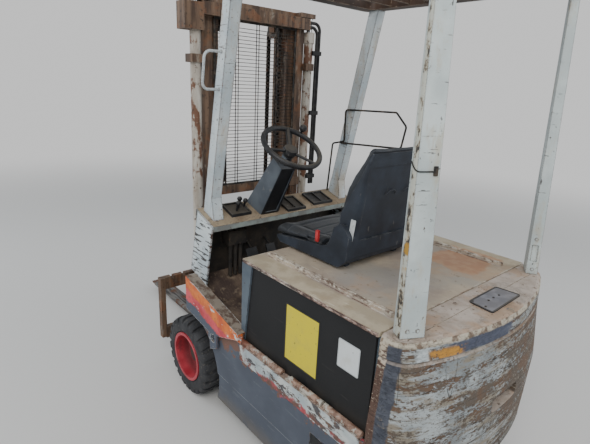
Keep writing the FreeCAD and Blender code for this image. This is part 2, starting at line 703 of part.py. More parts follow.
def steering_wheel():
    a = math.radians(STEER_TILT)
    axis = V(-math.sin(a), 0, math.cos(a))
    centre = V(*STEER_HUB)
    mid_r = STEER_R - STEER_RIM_R
    rim = lathe(round_section(STEER_RIM_R, 12, mid_r), centre, STEER_TILT)
    hub = lathe([(10 + RUN_CLEAR, -45), (30, -45), (38, -26), (34, -8), (20, -4), (0, -4), (0, -21),
                 (10 + RUN_CLEAR, -21)],
                centre, STEER_TILT)
    side = V(0, 1, 0)
    front = axis.cross(side) * -1
    shapes = [rim, hub]
    for degrees, r in ((90, 7), (205, 7), (335, 12)):
        t = math.radians(degrees)
        out = front * math.cos(t) + side * math.sin(t)
        start = centre - axis * 22 + out * 22
        end = centre + out * mid_r
        shapes.append(Part.makeCylinder(r, (end - start).Length, start, end - start))
    t = math.radians(308)
    out = front * math.cos(t) + side * math.sin(t)
    knob_foot = centre + out * mid_r
    knob = [(0, 0), (6, 0), (6, 22), (13, 26), (19, 36), (19, 45), (13, 55), (0, 59)]
    shapes.append(lathe(knob, knob_foot, STEER_TILT))
    return fused(shapes)


def cowl_controls():
    """A lever block left of the column, and two trays with pockets right of it."""
    post_in = A_POST_FOOT[1] - A_POST_SIZE[1] / 2
    right, left = COLUMN_Y + COLUMN_FOOT_HALF + 45, post_in - 51
    tray = on_cowl(375, 100, right, left, 16).cut(on_cowl(375, 84, right + 8, left - 8,
                                                          30).translated(V(0, 0, 10)))
    levers = []
    for x, across, h in ((386, 8, 46), (380, 48, 64), (360, 70, 54)):
        y, z = right + (left - right) * across / 120, cowl_top_z(x)
        levers.append(rod((x, y, z + 8), (x - 20, y + 4, z + h), 6))
        levers.append(lathe([(0, -13), (8, -11), (13, -3), (13, 4), (8, 11), (0, 13)],
                            V(x - 20, y + 4, z + h), 0))
    trays = []
    for x, length, right, left in ((350, 120, -110, 20), (360, 110, 76 - post_in, -185)):
        shape = on_cowl(x, length, right, left, 14)
        cell = (left - right - 24) / 2
        for y in (right + 8, left - 8 - cell):
            shape = shape.cut(on_cowl(x, length - 18, y, y + cell, 30).translated(V(0, 0, 5)))
        trays.append(shape)
    return [fused([tray] + levers)] + trays


def on_cowl(x, length, y0, y1, height):
    """A flat tray that lies on the cowl's sloping top."""
    x0, x1 = x - length / 2, x + length / 2
    profile = [(x0, cowl_top_z(x0)), (x1, cowl_top_z(x1)), (x1, cowl_top_z(x1) + height),
               (x0, cowl_top_z(x0) + height)]
    return prism_xz(profile, y0, y1)


def pedals():
    items = []
    for y, w in ((190, 70), (60, 60)):
        plate = prism_xz([(330, 690), (336, 686), (400, 800), (394, 804)], y - w / 2, y + w / 2)
        stem = rod((396, y, 800), (BULKHEAD_X - 4.3, y, 828), 8)
        items.append(fused([plate, stem]))
    return items


PAPER_ROD_R = 5
PAPER_FOOT_X = 426
# Corners of the rod's line in its plane: x, z
PAPER_ROD_LINE = [(404, 1350), (312, 1372), (318, 1552), (-42, 1562), (-112, 1496), (-92, 1382), (300, 1362)]
PAPER_CLIP_X, PAPER_CLIP_Z = (300, 334), (1356, 1368)


def document_frame():
    face = A_POST_FOOT[1] - A_POST_SIZE[1] / 2
    y = -(face - PAPER_ROD_R - 2)
    foot = (PAPER_FOOT_X, y, cowl_top_z(PAPER_FOOT_X) + 2)
    stay = bent_rod([foot] + [(x, y, z) for x, z in PAPER_ROD_LINE], PAPER_ROD_R, 18)
    clip = box(*PAPER_CLIP_X, -face, y + 4, *PAPER_CLIP_Z)
    return [stay.fuse(clip).removeSplitter()]


# Axles
def drive_axle():
    z = FRONT_TYRE_R
    x = FRONT_AXLE_X
    drum_in = FRONT_TRACK_HALF - FRONT_TYRE_W / 2 - 4
    disc = FRONT_TRACK_HALF + FRONT_TYRE_W / 2 - FRONT_DISC_INSET
    housing = rod((x, -disc + 8, z), (x, disc - 8, z), AXLE_TUBE_R)
    stub = rod((x, -disc - 40, z), (x, disc + 40, z), FRONT_STUB_R)
    drums = [rod((x, s * drum_in, z), (x, s * (disc - 7), z), 92) for s in (1, -1)]
    gearbox = rod((x, 40, z + 10), (x, 190, z + 10), 128)
    motor = rod((x - 60, -60, z + 10), (x - 60, -330, z + 10), 105)
    return fused([housing, stub, gearbox, motor] + drums)


def steer_axle():
    x, z = REAR_AXLE_X, REAR_TYRE_R
    end = KINGPIN_Y - 47
    beam = prism_yz([(-end, z - 62), (end, z - 62), (end, z + 62), (120, z + BEAM_TOP),
                     (-120, z + BEAM_TOP), (-end, z + 62)],
                    x - 48, x + 48)
    ears = []
    for s in (1, -1):
        for z0, z1 in ((z - 62, z - 46), (z + 46, z + 62)):
            ear = prism_xy([(x - 42, s * (end - 8)), (x + 42, s * (end - 8)), (x + 40, s * (KINGPIN_Y + 8)),
                            (x + 12, s * (KINGPIN_Y + 40)),
                            (x - 12, s * (KINGPIN_Y + 40)), (x - 40, s * (KINGPIN_Y + 8))], z0, z1)
            ears.append(ear)
    mount = box(x - MOUNT_REACH, x + MOUNT_REACH, -MOUNT_HALF, MOUNT_HALF, z + BEAM_TOP - 8, TRAY_Z)
    pins = [rod((x, s * KINGPIN_Y, z - 66), (x, s * KINGPIN_Y, z + 66), KINGPIN_R) for s in (1, -1)]
    return fused([beam, mount] + ears + pins)


def knuckle(side):
    x, z = REAR_AXLE_X, REAR_TYRE_R
    boss = rod((x, side * KINGPIN_Y, z - 45), (x, side * KINGPIN_Y, z + 45), 36)
    spindle_end = side * (REAR_TRACK_HALF + 42)
    spindle = rod((x, side * (KINGPIN_Y + 16), z), (x, spindle_end, z), REAR_SPINDLE_R)
    flange = rod((x, side * (KINGPIN_Y + 30), z), (x, side * (KINGPIN_Y + 46), z), 40)
    body = fused([boss, spindle, flange])
    return body.cut(rod((x, side * KINGPIN_Y, z - 60), (x, side * KINGPIN_Y, z + 60), KINGPIN_R + RUN_CLEAR))


# Wheels
def rim(x, y_mid, z, side, width, r, disc_inset, bore_r):
    """A dished wheel: a barrel with a flange at each edge and a disc with a bore. y grows outwards."""
    half = width / 2
    disc = half - disc_inset
    w, f = RIM_WALL, RIM_FLANGE
    barrel = turned([(-half, r - w), (half, r - w), (half, r + f), (half - w, r + f), (half - w, r),
                     (w - half, r),
                     (w - half, r + f), (-half, r + f)], (0, 0, 0))
    dish = turned([(disc - 6, bore_r + 14), (disc + 6, bore_r + 14), (disc + 6, r - w - 18),
                   (disc + 16, r - w + 2),
                   (disc + 2, r - w + 2), (disc - 6, r - w - 14)], (0, 0, 0))
    hub = turned([(disc - 6, bore_r), (disc + 16, bore_r), (disc + 16, bore_r + 14),
                  (disc - 6, bore_r + 14)], (0, 0, 0))
    shape = fused([barrel, dish, hub])
    shape = shape if side > 0 else mirrored(shape)
    shape.translate(V(x, side * y_mid, z))
    return shape


def ring_gon(r, y, flats, inside=False):
    """A regular polygon across the axle line; its corners, or its flats where inside, lie r out."""
    reach = r / math.cos(math.pi / flats) if inside else r
    turns = [i * 2 * math.pi / flats for i in range(flats)]
    return outline([(reach * math.sin(turn), y, reach * math.cos(turn)) for turn in turns])


def gon_loft(rows, flats, inside=False):
    """A solid through such polygons, given as (place on the axle line, r)."""
    return Part.makeLoft([ring_gon(r, y, flats, inside) for y, r in rows], True, True)


def tyre(x, y_mid, z, side, width, r_rim, r_out, flats):
    """A tyre with its bead between the rim's flanges, and grooves that leave a lug at each shoulder."""
    half = width / 2
    body = gon_loft([(-half, r_out - SHOULDER_DROP), (SHOULDER_W - half, r_out), (half - SHOULDER_W, r_out),
                     (half, r_out - SHOULDER_DROP)], flats)
    bead = half - RIM_WALL - BEAD_GAP
    seat = r_rim + RIM_FLANGE + FLANGE_ROOM
    flare = seat + SIDEWALL_STEP * (half + 1 - bead) / (half - bead)
    tools = [gon_loft([(-half - 1, r_rim), (half + 1, r_rim)], flats, True)]
    pitch = 720 / flats
    for end in (1, -1):
        tools.append(gon_loft([(end * bead, seat), (end * (half + 1), flare)], flats, True))
        groove = box(-GROOVE_W / 2, GROOVE_W / 2, half - GROOVE_LENGTH, half + GROOVE_LENGTH,
                     r_out - GROOVE_DEPTH, r_out + GROOVE_DEPTH)
        groove.rotate(V(0, half, 0), V(0, 0, 1), GROOVE_SLANT)
        if end < 0:
            groove = mirrored(groove)
        for i in range(flats // 2):
            cut = groove.copy()
            cut.rotate(V(0, 0, 0), V(0, 1, 0), pitch * (i + (0.25 if end > 0 else 0.75)))
            tools.append(cut)
    shape = body.cut(tools)
    shape.translate(V(x, side * y_mid, z))
    return shape


# Hood and seat
def battery_hood():
    top, under = HOOD_TOP_Z, HOOD_TOP_Z - HOOD_SHEET
    sheet = prism_xy([(0, -HOOD_HALF), (0, HOOD_HALF), (HOOD_REAR_X, HOOD_HALF), (HOOD_REAR_X, -HOOD_HALF)],
                     under + 0.3, top, 6)
    ridge = prism_yz([(HOOD_HALF - 141, top), (HOOD_HALF - 113, top), (HOOD_HALF - 119, top + 15),
                      (HOOD_HALF - 135, top + 15)],
                     HOOD_REAR_X + 42, -29)
    return fused([sheet] + pair(ridge))


def seat_pan():
    """A moulded pan whose side walls rise at the rear into wings beside the backrest."""
    z0 = HOOD_TOP_Z + SEAT_RAIL_H
    side = [(52, z0), (PAN_FRONT_X, z0 + 16), (PAN_FRONT_X, z0 + PAN_LIP_H), (-262, 1030), (-292, 1122),
            (-334, WING_TOP_Z),
            (PAN_REAR_X, 1098), (-372, 995), (-330, z0)]
    y0, y1 = SEAT_Y - PAN_HALF, SEAT_Y + PAN_HALF
    pan = prism_xz(side, y0, y1, [14, 10, 4, 30, 14, 20, 30, 30, 14])
    room = box(PAN_REAR_X + 38, PAN_FRONT_X - PAN_WALL, y0 + PAN_WALL, y1 - PAN_WALL, z0 + PAN_FLOOR_T,
               WING_TOP_Z + 50)
    return pan.cut(room)


def seat_shell():
    """The pan on its two slide rails, and the back shell with its sunk rear panel."""
    z0 = HOOD_TOP_Z
    rails = pair(box(-320, 40, 150, 176, z0, z0 + SEAT_RAIL_H + 4))
    for rail in rails:
        rail.translate(V(0, SEAT_Y, 0))
    wires = []
    for z, front, rear, half in SHELL_SECTIONS:
        corner = min(22, (front - rear) * 0.45)
        corners = [(front, -half), (front, half), (rear, half), (rear, -half)]
        wires.append(outline([(x, SEAT_Y + y, z) for x, y in corners], [0, 0, corner, corner]))
    back = Part.makeLoft(wires, True, True)
    (z_a, _, x_a, _), (z_b, _, x_b, _) = SHELL_SECTIONS[1], SHELL_SECTIONS[-2]
    lean = (x_b - x_a) / (z_b - z_a)
    low, high = (x_a + lean * (z - z_a) + RECESS_DEPTH for z in (RECESS_BOTTOM_Z, RECESS_TOP_Z))
    sunk = slab([(low, SEAT_Y - RECESS_HALF, RECESS_BOTTOM_Z), (low, SEAT_Y + RECESS_HALF, RECESS_BOTTOM_Z),
                 (high, SEAT_Y + RECESS_HALF, RECESS_TOP_Z), (high, SEAT_Y - RECESS_HALF, RECESS_TOP_Z)],
                 26, (-60, 0, 0))
    return fused(rails + [seat_pan(), back]).cut(sunk)


def seat_cushion():
    """Fills the pan and swells over its side walls."""
    z0 = HOOD_TOP_Z + SEAT_RAIL_H + PAN_FLOOR_T + SOFT_GAP
    lip = HOOD_TOP_Z + SEAT_RAIL_H + PAN_LIP_H + LIP_ROOM
    inner_front = PAN_FRONT_X - PAN_WALL - SOFT_GAP
    top = CUSHION_TOP_Z
    inner = prism_xz([(inner_front, z0), (inner_front, lip), (CUSHION_FRONT_X, lip + 6),
                      (CUSHION_FRONT_X - 6, top - 8),
                      (50, top), (-252, top - 6), (-256, z0)],
                     SEAT_Y - PAN_HALF + PAN_WALL + SOFT_GAP, SEAT_Y + PAN_HALF - PAN_WALL - SOFT_GAP)
    wide = prism_xz([(PAN_FRONT_X - 4, lip + 1), (CUSHION_FRONT_X, lip + 6), (CUSHION_FRONT_X - 6, top - 8),
                     (50, top),
                     (-225, top - 5.5), (-225, 1028)], SEAT_Y - CUSHION_HALF, SEAT_Y + CUSHION_HALF)
    return fused([inner, wide])


def seat_backrest():
    gap = SOFT_GAP
    rear = [(front + gap, z) for z, front, _, _ in SHELL_SECTIONS[2:]]
    body = prism_xz([(SHELL_SECTIONS[0][1] + gap, BACK_BOTTOM_Z)] + rear + [
        (SHELL_SECTIONS[-1][1] + gap, SHELL_TOP_Z + gap), (-430, SHELL_TOP_Z + gap), (-428, BACK_TOP_Z - 8),
        (-402, BACK_TOP_Z),
        (-380, 1412), (-338, 1345), (-305, 1280), (-283, 1174), (BACK_FRONT_X, BACK_BOTTOM_Z)],
        SEAT_Y - BACK_HALF, SEAT_Y + BACK_HALF)
    return body


# Mast
def rail_c(x0, depth, y_out, width, web, flange, z0, z1):
    """An outer rail: a channel open towards the middle."""
    x1 = x0 + depth
    pts = [(x0, y_out), (x1, y_out), (x1, y_out - width), (x1 - flange, y_out - width),
           (x1 - flange, y_out - web),
           (x0 + flange, y_out - web), (x0 + flange, y_out - width), (x0, y_out - width)]
    return prism_xy(pts, z0, z1)


def rail_i(x0, depth, y_out, width, web, flange, z0, z1):
    """An inner rail: an I section."""
    x1 = x0 + depth
    y_in = y_out - width
    w0, w1 = y_out - RAIL_I_LIP - web, y_out - RAIL_I_LIP
    pts = [(x0, y_out), (x0 + flange, y_out), (x0 + flange, w1), (x1 - flange, w1), (x1 - flange, y_out),
           (x1, y_out),
           (x1, y_in), (x1 - flange, y_in), (x1 - flange, w0), (x0 + flange, w0), (x0 + flange, y_in),
           (x0, y_in)]
    return prism_xy(pts, z0, z1)


def outer_frame():
    rail = rail_c(MAST_REAR_X, RAIL_DEPTH, RAIL_OUT_Y, RAIL_W, RAIL_WEB, RAIL_FLANGE, MAST_BOTTOM_Z,
                  OUTER_TOP_Z)
    x0 = MAST_REAR_X
    top_tie = box(x0 - 40, x0, -RAIL_OUT_Y - TIE_OUT, RAIL_OUT_Y + TIE_OUT, OUTER_TOP_Z - TOP_TIE_H,
                  OUTER_TOP_Z)
    low_tie = box(x0 - 12, x0, -RAIL_OUT_Y, RAIL_OUT_Y, 1060, 1110)
    foot_tie = box(x0 - 12, x0, -RAIL_OUT_Y, RAIL_OUT_Y, 330, 420)
    lug = prism_xz([(x0, MAST_PIVOT[1] + 60), (MAST_PIVOT[0] - 10, MAST_PIVOT[1] + 34),
                    (MAST_PIVOT[0] - 34, MAST_PIVOT[1]),
                    (MAST_PIVOT[0] - 10, MAST_PIVOT[1] - 34), (x0, MAST_PIVOT[1] - 60)], RAIL_OUT_Y - 24,
                    RAIL_OUT_Y, [0, 20, 20, 20, 0])
    pin = rod((MAST_PIVOT[0], RAIL_OUT_Y - 24, MAST_PIVOT[1]),
              (MAST_PIVOT[0], FRAME_OUT_Y + 10, MAST_PIVOT[1]), PIVOT_PIN_R)
    ears = []
    for y in (TILT_Y - 16 - EAR_T, TILT_Y + 16):
        ear = prism_xz([(x0 - 5, TILT_EYE[1] + 26), (TILT_EYE[0], TILT_EYE[1] + 20),
                        (TILT_EYE[0] - 20, TILT_EYE[1]),
                        (TILT_EYE[0], TILT_EYE[1] - 20), (x0 - 5, TILT_EYE[1] - 26)], y, y + EAR_T,
                        [0, 10, 10, 10, 0])
        ears.append(ear)
    ear_base = box(x0 - 6, x0, TILT_Y - 28, TILT_Y + 28, TILT_EYE[1] - 30, TILT_EYE[1] + 30)
    eye_pin = rod((TILT_EYE[0], TILT_Y - 28, TILT_EYE[1]), (TILT_EYE[0], TILT_Y + 28, TILT_EYE[1]),
                  TILT_PIN_R - 1.5)
    half = fused([rail, lug, pin, ear_base, eye_pin] + ears)
    chain_x = PULLEY_X - PULLEY_R
    anchors = [box(x0 - 5, chain_x + 4, s * PULLEY_Y - 18, s * PULLEY_Y + 18, 1085, 1110) for s in (1, -1)]
    brackets = []
    for s in (1, -1):
        for z in CLAMP_LEVELS:
            y0, y1 = sorted((s * (RAIL_OUT_Y - 2), s * (CYL_Y + CLAMP_REACH[s])))
            block = box(CYL_X - CYL_R - CLAMP_WALL, CYL_X + CYL_R + CLAMP_WALL, y0, y1, z, z + CLAMP_H)
            brackets.append(block.cut(rod((CYL_X, s * CYL_Y, z - 5), (CYL_X, s * CYL_Y, z + CLAMP_H + 5),
                                          CYL_R)))
    gland_r = CYL_R + GLAND_WALL + 0.3
    block = box(CYL_X - gland_r - CLAMP_WALL, CYL_X + gland_r + CLAMP_WALL, RAIL_OUT_Y + 8, CYL_Y + 76,
                *HEAD_BLOCK_Z)
    gland_room = rod((CYL_X, CYL_Y, HEAD_BLOCK_Z[0] - 5), (CYL_X, CYL_Y, HEAD_BLOCK_Z[1] + 5), gland_r)
    brackets.append(block.cut(gland_room))
    return fused(pair(half) + [top_tie, low_tie, foot_tie] + brackets + anchors)


def lift_cylinders():
    barrel = rod((CYL_X, CYL_Y, CYL_BOTTOM_Z), (CYL_X, CYL_Y, CYL_TOP_Z), CYL_R)
    barrel = barrel.cut(rod((CYL_X, CYL_Y, CYL_BOTTOM_Z + 30), (CYL_X, CYL_Y, CYL_TOP_Z + 5),
                            ROD_R + RUN_CLEAR))
    gland = tube((CYL_X, CYL_Y, CYL_TOP_Z - 60), (CYL_X, CYL_Y, CYL_TOP_Z), CYL_R + GLAND_WALL, GLAND_WALL)
    return pair(fused([barrel, gland]))


def mesh_guard():
    y = MESH_HALF
    x0 = MAST_REAR_X
    sides = [box(x0 - 6, x0 - 1, s * y - 6, s * y + 6, MESH_BOTTOM_Z, MESH_TOP_Z) for s in (1, -1)]
    wires = []
    count = int((MESH_TOP_Z - MESH_BOTTOM_Z) / MESH_PITCH)
    w = MESH_WIRE
    for i in range(1, count):
        z = MESH_BOTTOM_Z + i * MESH_PITCH
        wires.append(box(x0 - 5, x0 - 5 + w, -y - 2, y + 2, z - w / 2, z + w / 2))
    top = box(x0 - 12, x0 - 1, -y - 6, y + 6, MESH_TOP_Z - 10, MESH_TOP_Z)
    foot = box(x0 - 12, x0 - 1, -y - 6, y + 6, MESH_BOTTOM_Z, MESH_BOTTOM_Z + 8)
    for c in MESH_VERTICALS:
        for dy in (-MESH_PAIR / 2, MESH_PAIR / 2):
            wires.append(box(x0 - 8.6, x0 - 5.2, c + dy - w / 2, c + dy + w / 2, MESH_BOTTOM_Z + 4,
                             MESH_TOP_Z - 4))
    return fused(sides + [top, foot] + wires)


def mast_hoses():
    hoses = []
    for y, top in zip(HOSE_YS, (OUTER_TOP_Z - 43, OUTER_TOP_Z - 19)):
        hoses.append(bent_rod([(HOSE_X, y, 1062), (HOSE_X, y, top),
                               (HOSE_X, -RAIL_OUT_Y - TIE_OUT - 0.3, top)], HOSE_R, [0, 42, 0]))
    clamps = []
    for z in (1100, 1500, OUTER_TOP_Z - 195):
        clamp = box(HOSE_X - 12, HOSE_X + 40, -CYL_Y - 74, -CYL_Y - 6, z, z + 24)
        holes = [rod((HOSE_X, y, z - 5), (HOSE_X, y, z + 30), HOSE_R) for y in HOSE_YS]
        clamps.append(clamp.cut(holes + [rod((CYL_X, -CYL_Y, z - 5), (CYL_X, -CYL_Y, z + 30), CYL_R + 0.3)]))
    return hoses + clamps


def inner_frame():
    rail = rail_i(INNER_REAR_X, INNER_DEPTH, INNER_OUT_Y, INNER_W, INNER_WEB, RAIL_FLANGE, INNER_BOTTOM_Z,
                  INNER_TOP_Z)
    y_in = INNER_OUT_Y - INNER_W
    x0, x1 = INNER_REAR_X, INNER_REAR_X + INNER_DEPTH
    under = INNER_TOP_Z - INNER_HEAD_H
    top = box(x0, x1, -y_in, y_in, under, INNER_TOP_Z)
    web_y = INNER_OUT_Y - RAIL_I_LIP - INNER_WEB / 2
    foot = box(x0 + 40, x0 + 56, -web_y, web_y, INNER_BOTTOM_Z, INNER_BOTTOM_Z + 55)
    arm = []
    for s in (1, -1):
        y0, y1 = sorted((s * (INNER_OUT_Y - 30), s * (CYL_Y + 24)))
        head = box(CYL_X - 26, INNER_REAR_X + 20, y0, y1, OUTER_TOP_Z + HEAD_GAP, INNER_TOP_Z)
        arm.append(head)
        for dy in (-20, 14):
            y = s * PULLEY_Y + dy
            cheek = box(PULLEY_X - 22, PULLEY_X + 22, y, y + 6, PULLEY_Z - 20, under)
            arm.append(cheek)
        arm.append(rod((PULLEY_X, s * PULLEY_Y - 18, PULLEY_Z), (PULLEY_X, s * PULLEY_Y + 18, PULLEY_Z), 12))
    return fused(pair(rail) + [top, foot] + arm)


def chain_pulleys():
    items = []
    for s in (1, -1):
        wheel = turned([(-13, 12.3), (13, 12.3), (13, PULLEY_R + 4), (12.4, PULLEY_R + 4), (12.4, PULLEY_R),
                        (-12.4, PULLEY_R),
                        (-12.4, PULLEY_R + 4), (-13, PULLEY_R + 4)], (PULLEY_X, s * PULLEY_Y, PULLEY_Z))
        items.append(wheel)
    return items


def lift_rods():
    return pair(rod((CYL_X, CYL_Y, CYL_BOTTOM_Z + 60), (CYL_X, CYL_Y, OUTER_TOP_Z + HEAD_GAP), ROD_R))


def chains(front):
    """Chain strands beside each pulley: the front one down to the carriage, the rear one to its anchor."""
    x = PULLEY_X + PULLEY_R + 0.3 if front else PULLEY_X - PULLEY_R - CHAIN_T - 0.3
    z0 = CHAIN_ANCHOR_Z if front else REAR_ANCHOR_TOP_Z + 0.3
    # Across the strand: upright plates side by side, as deep as the chain, with shallow gaps between
    step = CHAIN_W / (2 * CHAIN_PLATES - 1)
    shallow = CHAIN_T * 0.2
    near = []
    for i in range(CHAIN_PLATES):
        y = -CHAIN_W / 2 + 2 * i * step
        near += [(x + shallow, y), (x, y), (x, y + step), (x + shallow, y + step)]
    near = near[1:-1]
    far = [(2 * x + CHAIN_T - px, y) for px, y in reversed(near)]
    items = []
    for s in (1, -1):
        items.append(prism_xy([(px, s * PULLEY_Y + y) for px, y in near + far], z0, PULLEY_Z))
    return items


# Carriage
def carriage_frame():
    x0, x1 = CARRIAGE_X, CARRIAGE_X + CARRIAGE_T
    half = CARRIAGE_HALF
    upper = box(x0, x1, -half + END_PLATE_T, half - END_PLATE_T, UPPER_BAR_TOP_Z - BAR_H, UPPER_BAR_TOP_Z)
    notches = []
    count = int((half - END_PLATE_T) / NOTCH_PITCH)
    for i in range(-count, count + 1):
        y = i * NOTCH_PITCH
        notches.append(box(x0 - 5, x1 + 5, y - NOTCH_W / 2, y + NOTCH_W / 2, UPPER_BAR_TOP_Z - NOTCH_DEPTH,
                           UPPER_BAR_TOP_Z + 5))
    upper = upper.cut(notches)
    lower = box(x0, x1, -half + END_PLATE_T, half - END_PLATE_T, LOWER_BAR_Z, LOWER_BAR_Z + BAR_H)
    ends = [box(x0 - 6, x1, min(s * half, s * (half - END_PLATE_T)), max(s * half, s * (half - END_PLATE_T)),
                LOWER_BAR_Z + 12, UPPER_BAR_TOP_Z) for s in (1, -1)]
    parts = [upper, lower] + ends
    roller_x = INNER_REAR_X + INNER_DEPTH / 2
    y_in = INNER_OUT_Y - INNER_W
    roller_r = (INNER_DEPTH - 2 * RAIL_FLANGE) / 2 - 1.5
    for s in (1, -1):
        y0, y1 = sorted((s * (y_in - 21), s * (y_in - 7)))
        parts.append(box(roller_x - 30, x0, y0, y1, LOWER_BAR_Z + 20, UPPER_BAR_TOP_Z - 10))
        for z in (200, 480):
            parts.append(rod((roller_x, s * (y_in - 17), z), (roller_x, s * (y_in + 28), z), roller_r))
        y0, y1 = sorted((s * (PULLEY_Y - 14), s * (y_in - 20)))
        parts.append(box(PULLEY_X + PULLEY_R - 6, x0, y0, y1, CHAIN_ANCHOR_Z - 30, CHAIN_ANCHOR_Z - 0.3))
    return fused(parts)


def forks():
    x0 = CARRIAGE_X + CARRIAGE_T
    x1 = x0 + FORK_T
    tip = x1 + FORK_LENGTH
    z0, z1 = FORK_BOTTOM_Z, FORK_BOTTOM_Z + FORK_T
    hook = 22
    top = UPPER_BAR_TOP_Z
    profile = [(x0 + 0.3, z0 + 24), (x0 + 24, z0), (tip - 60, z0 + 14), (tip, z0 + 22), (tip, z0 + 32),
               (tip - 260, z1), (x1, z1),
               (x1, top + hook), (x0 - 14, top + hook), (x0 - 14, top - 6 + 6.3), (x0 + 0.3, top + 0.3)]
    shape = prism_xz(profile, FORK_Y - FORK_W / 2, FORK_Y + FORK_W / 2, [0, 0, 0, 4, 4, 0, 12, 6, 4, 0, 0])
    return pair(shape)


# Tilt cylinders
def tilt_line():
    dx, dz = TILT_EYE[0] - TILT_BASE[0], TILT_EYE[1] - TILT_BASE[1]
    length = math.hypot(dx, dz)
    return dx / length, dz / length, length


def on_tilt(distance):
    ux, uz, length = tilt_line()
    return (TILT_BASE[0] + ux * distance, TILT_Y, TILT_BASE[1] + uz * distance)


def tilt_barrels():
    length = tilt_line()[2]
    barrel = rod(on_tilt(26), on_tilt(length - 120), TILT_BARREL_R)
    barrel = barrel.cut(rod(on_tilt(40), on_tilt(length), TILT_ROD_R + RUN_CLEAR))
    eye = rod((TILT_BASE[0], TILT_Y - 12, TILT_BASE[1]), (TILT_BASE[0], TILT_Y + 12, TILT_BASE[1]), 24)
    pin = rod((TILT_BASE[0], TILT_Y, TILT_BASE[1]), (TILT_BASE[0], LUG_IN_Y, TILT_BASE[1]), TILT_PIN_R)
    link = rod(on_tilt(10), on_tilt(30), 14)
    return pair(fused([barrel, eye, pin, link]))


def tilt_rods():
    length = tilt_line()[2]
    shaft = rod(on_tilt(120), on_tilt(length - 12), TILT_ROD_R)
    eye = rod((TILT_EYE[0], TILT_Y - 14, TILT_EYE[1]), (TILT_EYE[0], TILT_Y + 14, TILT_EYE[1]), 16)
    hole = rod((TILT_EYE[0], TILT_Y - 20, TILT_EYE[1]), (TILT_EYE[0], TILT_Y + 20, TILT_EYE[1]), TILT_PIN_R)
    return pair(shaft.fuse(eye).cut(hole).removeSplitter())


def wheel_parts():
    for side, name in ((1, "left"), (-1, "right")):
        write("front_rim_" + name, rim(FRONT_AXLE_X, FRONT_TRACK_HALF, FRONT_TYRE_R, side, FRONT_TYRE_W,
                                       FRONT_RIM_R,
                                       FRONT_DISC_INSET, FRONT_STUB_R + RUN_CLEAR))
        write("front_tyre_" + name, tyre(FRONT_AXLE_X, FRONT_TRACK_HALF, FRONT_TYRE_R, side, FRONT_TYRE_W,
                                         FRONT_RIM_R,
                                         FRONT_TYRE_R, FRONT_FLAT_COUNT))
        write("rear_rim_" + name, rim(REAR_AXLE_X, REAR_TRACK_HALF, REAR_TYRE_R, side, REAR_TYRE_W,
                                      REAR_RIM_R,
                                      REAR_DISC_INSET, REAR_SPINDLE_R + RUN_CLEAR))
        write("rear_tyre_" + name, tyre(REAR_AXLE_X, REAR_TRACK_HALF, REAR_TYRE_R, side, REAR_TYRE_W,
                                        REAR_RIM_R, REAR_TYRE_R,
                                        REAR_FLAT_COUNT))
        write("steer_knuckle_" + name, knuckle(side))


def main():
    os.makedirs("parts", exist_ok=True)
    write("side_panels", *side_panels())
    write("front_fenders", *front_fenders())
    write("sills", *sills())
    write("battery_box", battery_box())
    write("battery_side_panels", *battery_panels())
    write("battery", battery())
    write("counterweight", counterweight())
    write("counterweight_fittings", hitch_pin(), cover_plate())
    write("floor_plate", floor_plate())
    write("main_frame", main_frame())
    write("front_bulkhead", upper_bulkhead())
    write("cowl_beam", cowl_beam())
    write("cowl_legs", *cowl_legs())
    write("guard_posts_front", *front_posts())
    write("guard_posts_rear", *rear_posts())
    write("guard_roof", guard_roof())
    write("steering_column", steering_column())
    write("cowl_controls", *cowl_controls())
    write("pedals", *pedals())
    write("document_frame", *document_frame())
    write("drive_axle", drive_axle())
    write("steer_axle", steer_axle())
    write("battery_hood", battery_hood())
    write("seat_shell", seat_shell())
    write("seat_cushion", seat_cushion())
    write("seat_backrest", seat_backrest())
    write("steering_wheel", steering_wheel())
    wheel_parts()
    write("mast_outer_frame", outer_frame())
    write("lift_cylinders", *lift_cylinders())
    write("mast_mesh_guard", mesh_guard())
    write("mast_hoses", *mast_hoses())
    write("mast_inner_frame", inner_frame())
    write("chain_pulleys", *chain_pulleys())
    write("lift_rods", *lift_rods())
    write("lift_chains_front", *chains(True))
    write("lift_chains_rear", *chains(False))
    write("carriage_frame", carriage_frame())
    write("forks", *forks())
    write("tilt_cylinder_barrels", *tilt_barrels())
    write("tilt_cylinder_rods", *tilt_rods())


main()
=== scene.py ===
import math
from contextlib import contextmanager

import bmesh
import bpy
from mathutils import Matrix, Vector


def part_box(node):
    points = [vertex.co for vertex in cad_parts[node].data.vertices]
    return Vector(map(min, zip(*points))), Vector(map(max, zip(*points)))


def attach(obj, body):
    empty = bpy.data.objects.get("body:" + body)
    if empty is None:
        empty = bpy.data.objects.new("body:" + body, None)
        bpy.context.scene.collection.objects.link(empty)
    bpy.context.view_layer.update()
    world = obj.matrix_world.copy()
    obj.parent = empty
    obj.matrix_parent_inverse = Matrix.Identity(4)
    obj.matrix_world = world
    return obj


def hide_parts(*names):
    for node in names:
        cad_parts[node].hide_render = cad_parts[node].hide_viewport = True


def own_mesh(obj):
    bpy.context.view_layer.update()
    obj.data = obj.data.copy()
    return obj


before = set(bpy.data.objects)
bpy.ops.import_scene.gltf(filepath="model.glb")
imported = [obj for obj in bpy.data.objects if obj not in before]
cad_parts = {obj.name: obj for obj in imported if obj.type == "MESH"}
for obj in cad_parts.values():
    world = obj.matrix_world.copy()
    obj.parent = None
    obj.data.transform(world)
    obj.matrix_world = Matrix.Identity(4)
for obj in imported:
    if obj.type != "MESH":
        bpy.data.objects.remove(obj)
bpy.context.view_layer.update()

# Places are read off in millimetres from the front edge of the battery hood
HOOD_EDGE = -0.409


def x_at(x):
    return x / 1000 + HOOD_EDGE


